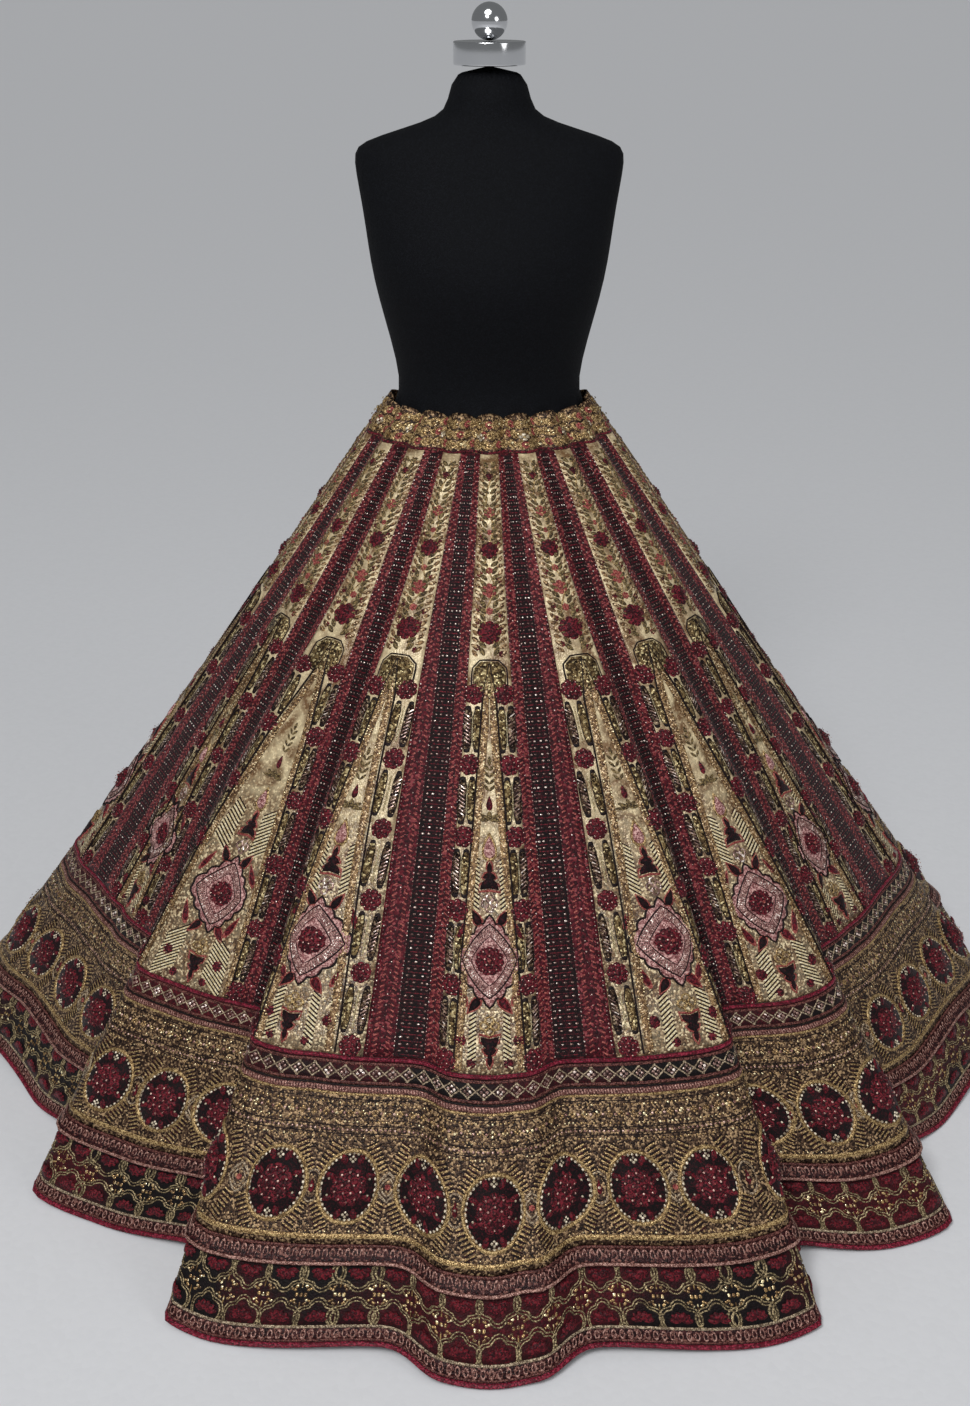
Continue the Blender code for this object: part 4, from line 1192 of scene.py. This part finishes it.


# A piece for each kind of thread, bead or applique: its slot, then its finish's name, colours,
# grain, roughness, metal, sheen, gloss and depth
# In most rows the last, brightest colour paints glints on the few grains that reach it
EMBROIDERY = (
    # Silk velvet rolled into roses: dark in the folds, brighter along the petals' edges
    ("roses", "maroon_velvet", "Maroon velvet roses",
     ((0.0, "#160306"), (0.5, "#3c0912"), (0.9, "#78212c")), 0.0020, 0.5, 0.0, SHEEN),
    # Olive silk thread, satin stitched along each leaf
    ("olive_leaves", "gold_satin", "Olive silk thread",
     ((0.0, "#231a10"), (0.5, "#4f3f28"), (0.9, "#8f7a50")), 0.0014, 0.45, 0.0, SHEEN),
    # Twisted cord of gold wire, with painted glints on a few grains
    ("gold_cords", "gold_border", "Gold twisted cord",
     ((0.0, "#3a2a1a"), (0.5, "#80633f"), (0.9, "#d4b782")), 0.0012, 0.35, 0.4),
    # Gold thread stitched over padding
    ("gold_pads", "gold_border", "Gold thread over padding",
     ((0.0, "#33231a"), (0.45, "#6b5038"), (0.8, "#a08058"), (0.96, "#ecd0a8")), 0.0018, 0.4, 0.25),
    # Glossy cream silk cord
    ("cream_cords", "gold_satin", "Cream silk cord",
     ((0.0, "#a08a60"), (0.6, "#d8c69a"), (0.95, "#fbf0d0")), 0.0012, 0.35, 0.0, SHEEN),
    # Dark brown silk cord that outlines the motifs
    ("brown_cords", "dark_velvet", "Dark brown silk cord", ((0.0, "#0a0505"), (0.9, "#1e1011")), 0.0012, 0.5),
    # Coral silk cord round the velvet drops
    ("coral_cords", "pink_trim", "Coral silk cord",
     ((0.0, "#541a1a"), (0.5, "#7f3231"), (0.9, "#b5685c")), 0.0012, 0.4, 0.0, SHEEN),
    # Dusty pink braid
    ("pink_cords", "pink_trim", "Dusty pink braid",
     ((0.0, "#240f0e"), (0.5, "#482422"), (0.9, "#86564d")), 0.0012, 0.4, 0.1),
    # Beige metal thread, dull with a few painted glints
    ("beige_cords", "pink_trim", "Beige metal thread",
     ((0.0, "#3f3228"), (0.5, "#7b6854"), (0.9, "#ccb99c")), 0.0012, 0.4, 0.2),
    # Pale pink metal thread of the loops
    ("pale_loops", "pink_trim", "Pale pink metal thread",
     ((0.0, "#4c2c28"), (0.5, "#7c544b"), (0.9, "#c59c8f")), 0.0012, 0.3, 0.2),
    # Silver gold cord of the trellis
    ("trellis_cords", "gold_border", "Silver gold cord",
     ((0.0, "#30271c"), (0.5, "#62533d"), (0.9, "#b8a57e")), 0.0014, 0.35, 0.3),
    # Black velvet cut out and sewn on
    ("dark_pads", "dark_velvet", "Black velvet applique",
     ((0.0, "#060203"), (0.6, "#120406"), (0.95, "#360a12")), 0.0018, 0.65, 0.0, SHEEN),
    # Crimson velvet cut out and sewn on
    ("red_pads", "maroon_velvet", "Crimson velvet applique",
     ((0.0, "#200309"), (0.5, "#430812"), (0.9, "#721a25")), 0.0018, 0.5, 0.0, SHEEN),
    # Pink satin cut out and sewn on, glossy
    ("pink_satin", "pink_trim", "Pink satin applique",
     ((0.0, "#5f3432"), (0.5, "#945f5e"), (0.9, "#dcb0a8")), 0.0016, 0.3, 0.0, SHEEN),
    # Sequins in dull green and gold, each tilted its own way
    ("sequins", "gold_border", "Green gold sequins",
     ((0.0, "#231910"), (0.4, "#524029"), (0.75, "#8a734c"), (0.95, "#e2cf9c")),
     0.0026, 0.3, 0.35, 0.0, 0.16, 0.6),
    # Black sequins with painted silver glints
    ("night_sequins", "dark_velvet", "Black and silver sequins",
     ((0.0, "#0c0706"), (0.5, "#2a1a15"), (0.85, "#5c4734"), (0.96, "#ac967a")),
     0.0024, 0.3, 0.3, 0.0, 0.16, 0.6),
    # Glass beads lined with silver and pink
    ("silver_beads", "pink_trim", "Silver pink glass beads",
     ((0.0, "#3d2520"), (0.45, "#6e4f47"), (0.8, "#ab897c"), (0.96, "#fff0e4")),
     0.0034, 0.22, 0.25, 0.0, 0.5, 0.05),
    # Pink glass beads
    ("pink_beads", "pink_trim", "Pink glass beads",
     ((0.0, "#5c3430"), (0.5, "#96685e"), (0.95, "#e8c4b4")), 0.0034, 0.22, 0.2, 0.0, 0.5, 0.05),
    # Gold lined glass beads
    ("gold_beads", "gold_border", "Gold beads",
     ((0.0, "#3f2c19"), (0.4, "#785a36"), (0.8, "#b59460"), (0.96, "#fff0c0")),
     0.0034, 0.22, 0.4, 0.0, 0.5, 0.05),
    # Pearl beads, each a little lighter or darker
    ("pearls", "gold_satin", "Pearl beads",
     ((0.0, "#6c5d4c"), (0.5, "#a8997f"), (0.9, "#f4e6cc")), 0.0034, 0.25, 0.0, 0.0, 0.5, 0.05),
)
for kind, slot, *finish in EMBROIDERY:
    sew(kind, grained(*finish))


# The dress form
def seat_half(waist_half):
    """Half width or depth of the form where the band's pleats are drawn against it."""
    drawn_in = (HEM_RADIUS - waist_half) * BAND_DRAWN_AT / SLANT
    floor_turn = 0.5 - (0.5 - GORE_SHARE_WAIST) * 0.32
    pleat_in = -WAIST_PLEAT / 2.0 * math.cos(2.0 * math.pi * floor_turn)
    drawn_deeper = (BAND_PLEAT - WAIST_PLEAT) * math.sin(math.pi * floor_turn) ** 2
    return waist_half - drawn_in - pleat_in - drawn_deeper - GAP


# A row for each level of the body, with height, half width, half depth and how far it sits forward
SEAT_HEIGHT = SEAM_HEIGHT + (SEAM_HEIGHT - HEM_HEIGHT) * BAND_DRAWN_AT / SLANT
BODY_LEVELS = (
    (0.740, 0.1560, 0.1120, 0.000),
    (0.800, 0.1660, 0.1200, 0.000),
    (0.860, 0.1600, 0.1180, 0.000),
    (0.915, 0.1430, 0.1130, 0.000),
    (SEAT_HEIGHT, seat_half(WAIST_HALF_WIDTH), seat_half(WAIST_HALF_DEPTH), 0.000),
    (0.965, 0.1200, 0.0930, 0.000),
    (1.010, 0.1250, 0.0950, 0.004),
    (1.070, 0.1400, 0.1080, 0.014),
    (1.120, 0.1520, 0.1200, 0.020),
    (1.165, 0.1590, 0.1160, 0.018),
    (1.210, 0.1660, 0.1000, 0.008),
    (1.250, 0.1750, 0.0820, 0.000),
    (1.275, 0.1790, 0.0660, 0.000),
    (1.288, 0.1680, 0.0600, 0.000),
    (1.303, 0.1150, 0.0560, 0.000),
    (1.318, 0.0640, 0.0520, 0.000),
    (1.335, 0.0520, 0.0500, 0.000),
    (1.379, 0.0456, 0.0456, 0.000),
)
NECK_RADIUS = 0.0456
CAP_HEIGHT = 0.028
FINIAL_RADIUS = 0.0225
POLE_RADIUS = 0.0125
BASE_RADIUS = 0.170
BASE_THICKNESS = 0.014


def build_body():
    """Smooth limbless body, lofted through its levels."""
    bm = bmesh.new()
    bmesh.ops.create_circle(bm, cap_ends=False, radius=1.0, segments=40)
    edges = bm.edges[:]
    for _ in BODY_LEVELS[1:]:
        grown = bmesh.ops.extrude_edge_only(bm, edges=edges)["geom"]
        edges = [item for item in grown if isinstance(item, bmesh.types.BMEdge)]
        for item in grown:
            if isinstance(item, bmesh.types.BMVert):
                item.co.z += 1.0
    bmesh.ops.holes_fill(bm, edges=[edge for edge in bm.edges if edge.is_boundary], sides=0)
    for vertex in bm.verts:
        height, half_width, half_depth, forward = BODY_LEVELS[round(vertex.co.z)]
        azimuth = math.atan2(vertex.co.x, -vertex.co.y)
        radius = half_width * half_depth / math.hypot(
            half_width * math.cos(azimuth), half_depth * math.sin(azimuth)
        )
        vertex.co = (radius * math.sin(azimuth), -radius * math.cos(azimuth) - forward, height)
    bmesh.ops.recalc_face_normals(bm, faces=bm.faces[:])
    body = add_piece(mesh_from(bm, "form_body"), JERSEY)
    smooth = body.modifiers.new("Smooth body", "SUBSURF")
    smooth.levels = smooth.render_levels = 1
    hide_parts("form_torso")


def turn_profile(name, node, material, profile, segments=64):
    """Piece turned round the upright axis. profile is a row of radius and height."""
    bm = bmesh.new()
    corners = [bm.verts.new((radius, 0.0, height)) for radius, height in profile]
    edges = [bm.edges.new(pair) for pair in zip(corners, corners[1:])]
    bmesh.ops.spin(
        bm, geom=corners + edges, cent=(0, 0, 0), axis=(0, 0, 1), angle=2.0 * math.pi,
        steps=segments, use_merge=True,
    )
    bmesh.ops.remove_doubles(bm, verts=bm.verts, dist=0.00002)
    bmesh.ops.recalc_face_normals(bm, faces=bm.faces[:])
    piece = add_piece(mesh_from(bm, name), material)
    piece.data.set_sharp_from_angle(angle=math.radians(40))
    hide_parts(node)


def rounded_drum(radius, bottom, top, edge):
    """Profile of a solid drum with rounded rims."""
    quarter = [math.radians(15.0 * step) for step in range(7)]
    low = [(radius - edge + edge * math.sin(a), bottom + edge - edge * math.cos(a)) for a in quarter]
    high = [(radius - edge + edge * math.cos(a), top - edge + edge * math.sin(a)) for a in quarter]
    return [(0.0, bottom), *low, *high, (0.0, top)]


build_body()
neck_top = BODY_LEVELS[-1][0]
cap_top = neck_top + GAP + CAP_HEIGHT
ball_middle = cap_top + GAP + FINIAL_RADIUS
turn_profile("cap_plate", "neck_cap", CHROME,
             rounded_drum(NECK_RADIUS, neck_top + GAP, cap_top, 0.0018))
turn_profile("ball_finial", "finial", CHROME, [
    (FINIAL_RADIUS * math.sin(angle), ball_middle - FINIAL_RADIUS * math.cos(angle))
    for angle in np.linspace(0.0, math.pi, 33)
])
turn_profile("pole", "stand_pole", POWDER_COAT,
             rounded_drum(POLE_RADIUS, BASE_THICKNESS + GAP, BODY_LEVELS[0][0] - GAP, 0.001), 32)
turn_profile("foot", "stand_base", POWDER_COAT,
             rounded_drum(BASE_RADIUS, 0.0, BASE_THICKNESS, 0.004))


# Floor, light and camera
def build_floor():
    """Plain level floor."""
    bm = bmesh.new()
    bmesh.ops.create_grid(bm, x_segments=1, y_segments=1, size=150.0)
    mesh = mesh_from(bm, "floor")
    mesh.materials.append(FLOOR)
    add_object("floor", mesh)


def add_lamp(name, kind, power, size, place, target):
    """Lamp aimed at a point. size is a disk's width in metres, or the sun's in degrees."""
    light = bpy.data.lights.new(name, kind)
    light.energy = power
    if kind == "SUN":
        light.angle = math.radians(size)
    else:
        light.shape = "DISK"
        light.size = size
    lamp = add_object(name, light)
    lamp.location = place
    lamp.rotation_euler = (Vector(target) - Vector(place)).to_track_quat("-Z", "Y").to_euler()


build_floor()
add_lamp("Key", "AREA", 46.0, 0.8, (-0.9, -3.0, 3.2), (0.0, 0.0, 0.5))
add_lamp("Fill", "AREA", 12.0, 1.6, (2.6, -2.4, 2.2), (0.0, 0.0, 0.5))
add_lamp("Sun", "SUN", 1.28, 35.0, (0.0, 0.0, 0.0), (0.18, 0.66, -1.0))
world = bpy.data.worlds.new("Soft room light")
world.use_nodes = True
background = world.node_tree.nodes["Background"]
background.inputs["Color"].default_value = to_linear("#dfe2e4")
background.inputs["Strength"].default_value = 0.24
bpy.context.scene.world = world
bpy.context.scene.view_settings.view_transform = "Standard"

# The photo's frame is 970 x 1406 pixels, and its lens sees as one of 1650 pixels does
PHOTO_HEIGHT = 1406
LENS_PIXELS = 1650
camera_data = bpy.data.cameras.new("Camera")
camera_data.sensor_width = 36.0
camera_data.lens = camera_data.sensor_width * LENS_PIXELS / PHOTO_HEIGHT
camera = add_object("Camera", camera_data)
camera.location = (-0.0056, -2.22, 1.49)
camera.rotation_euler = (math.radians(66.0), 0.0, 0.0)
bpy.context.scene.camera = camera
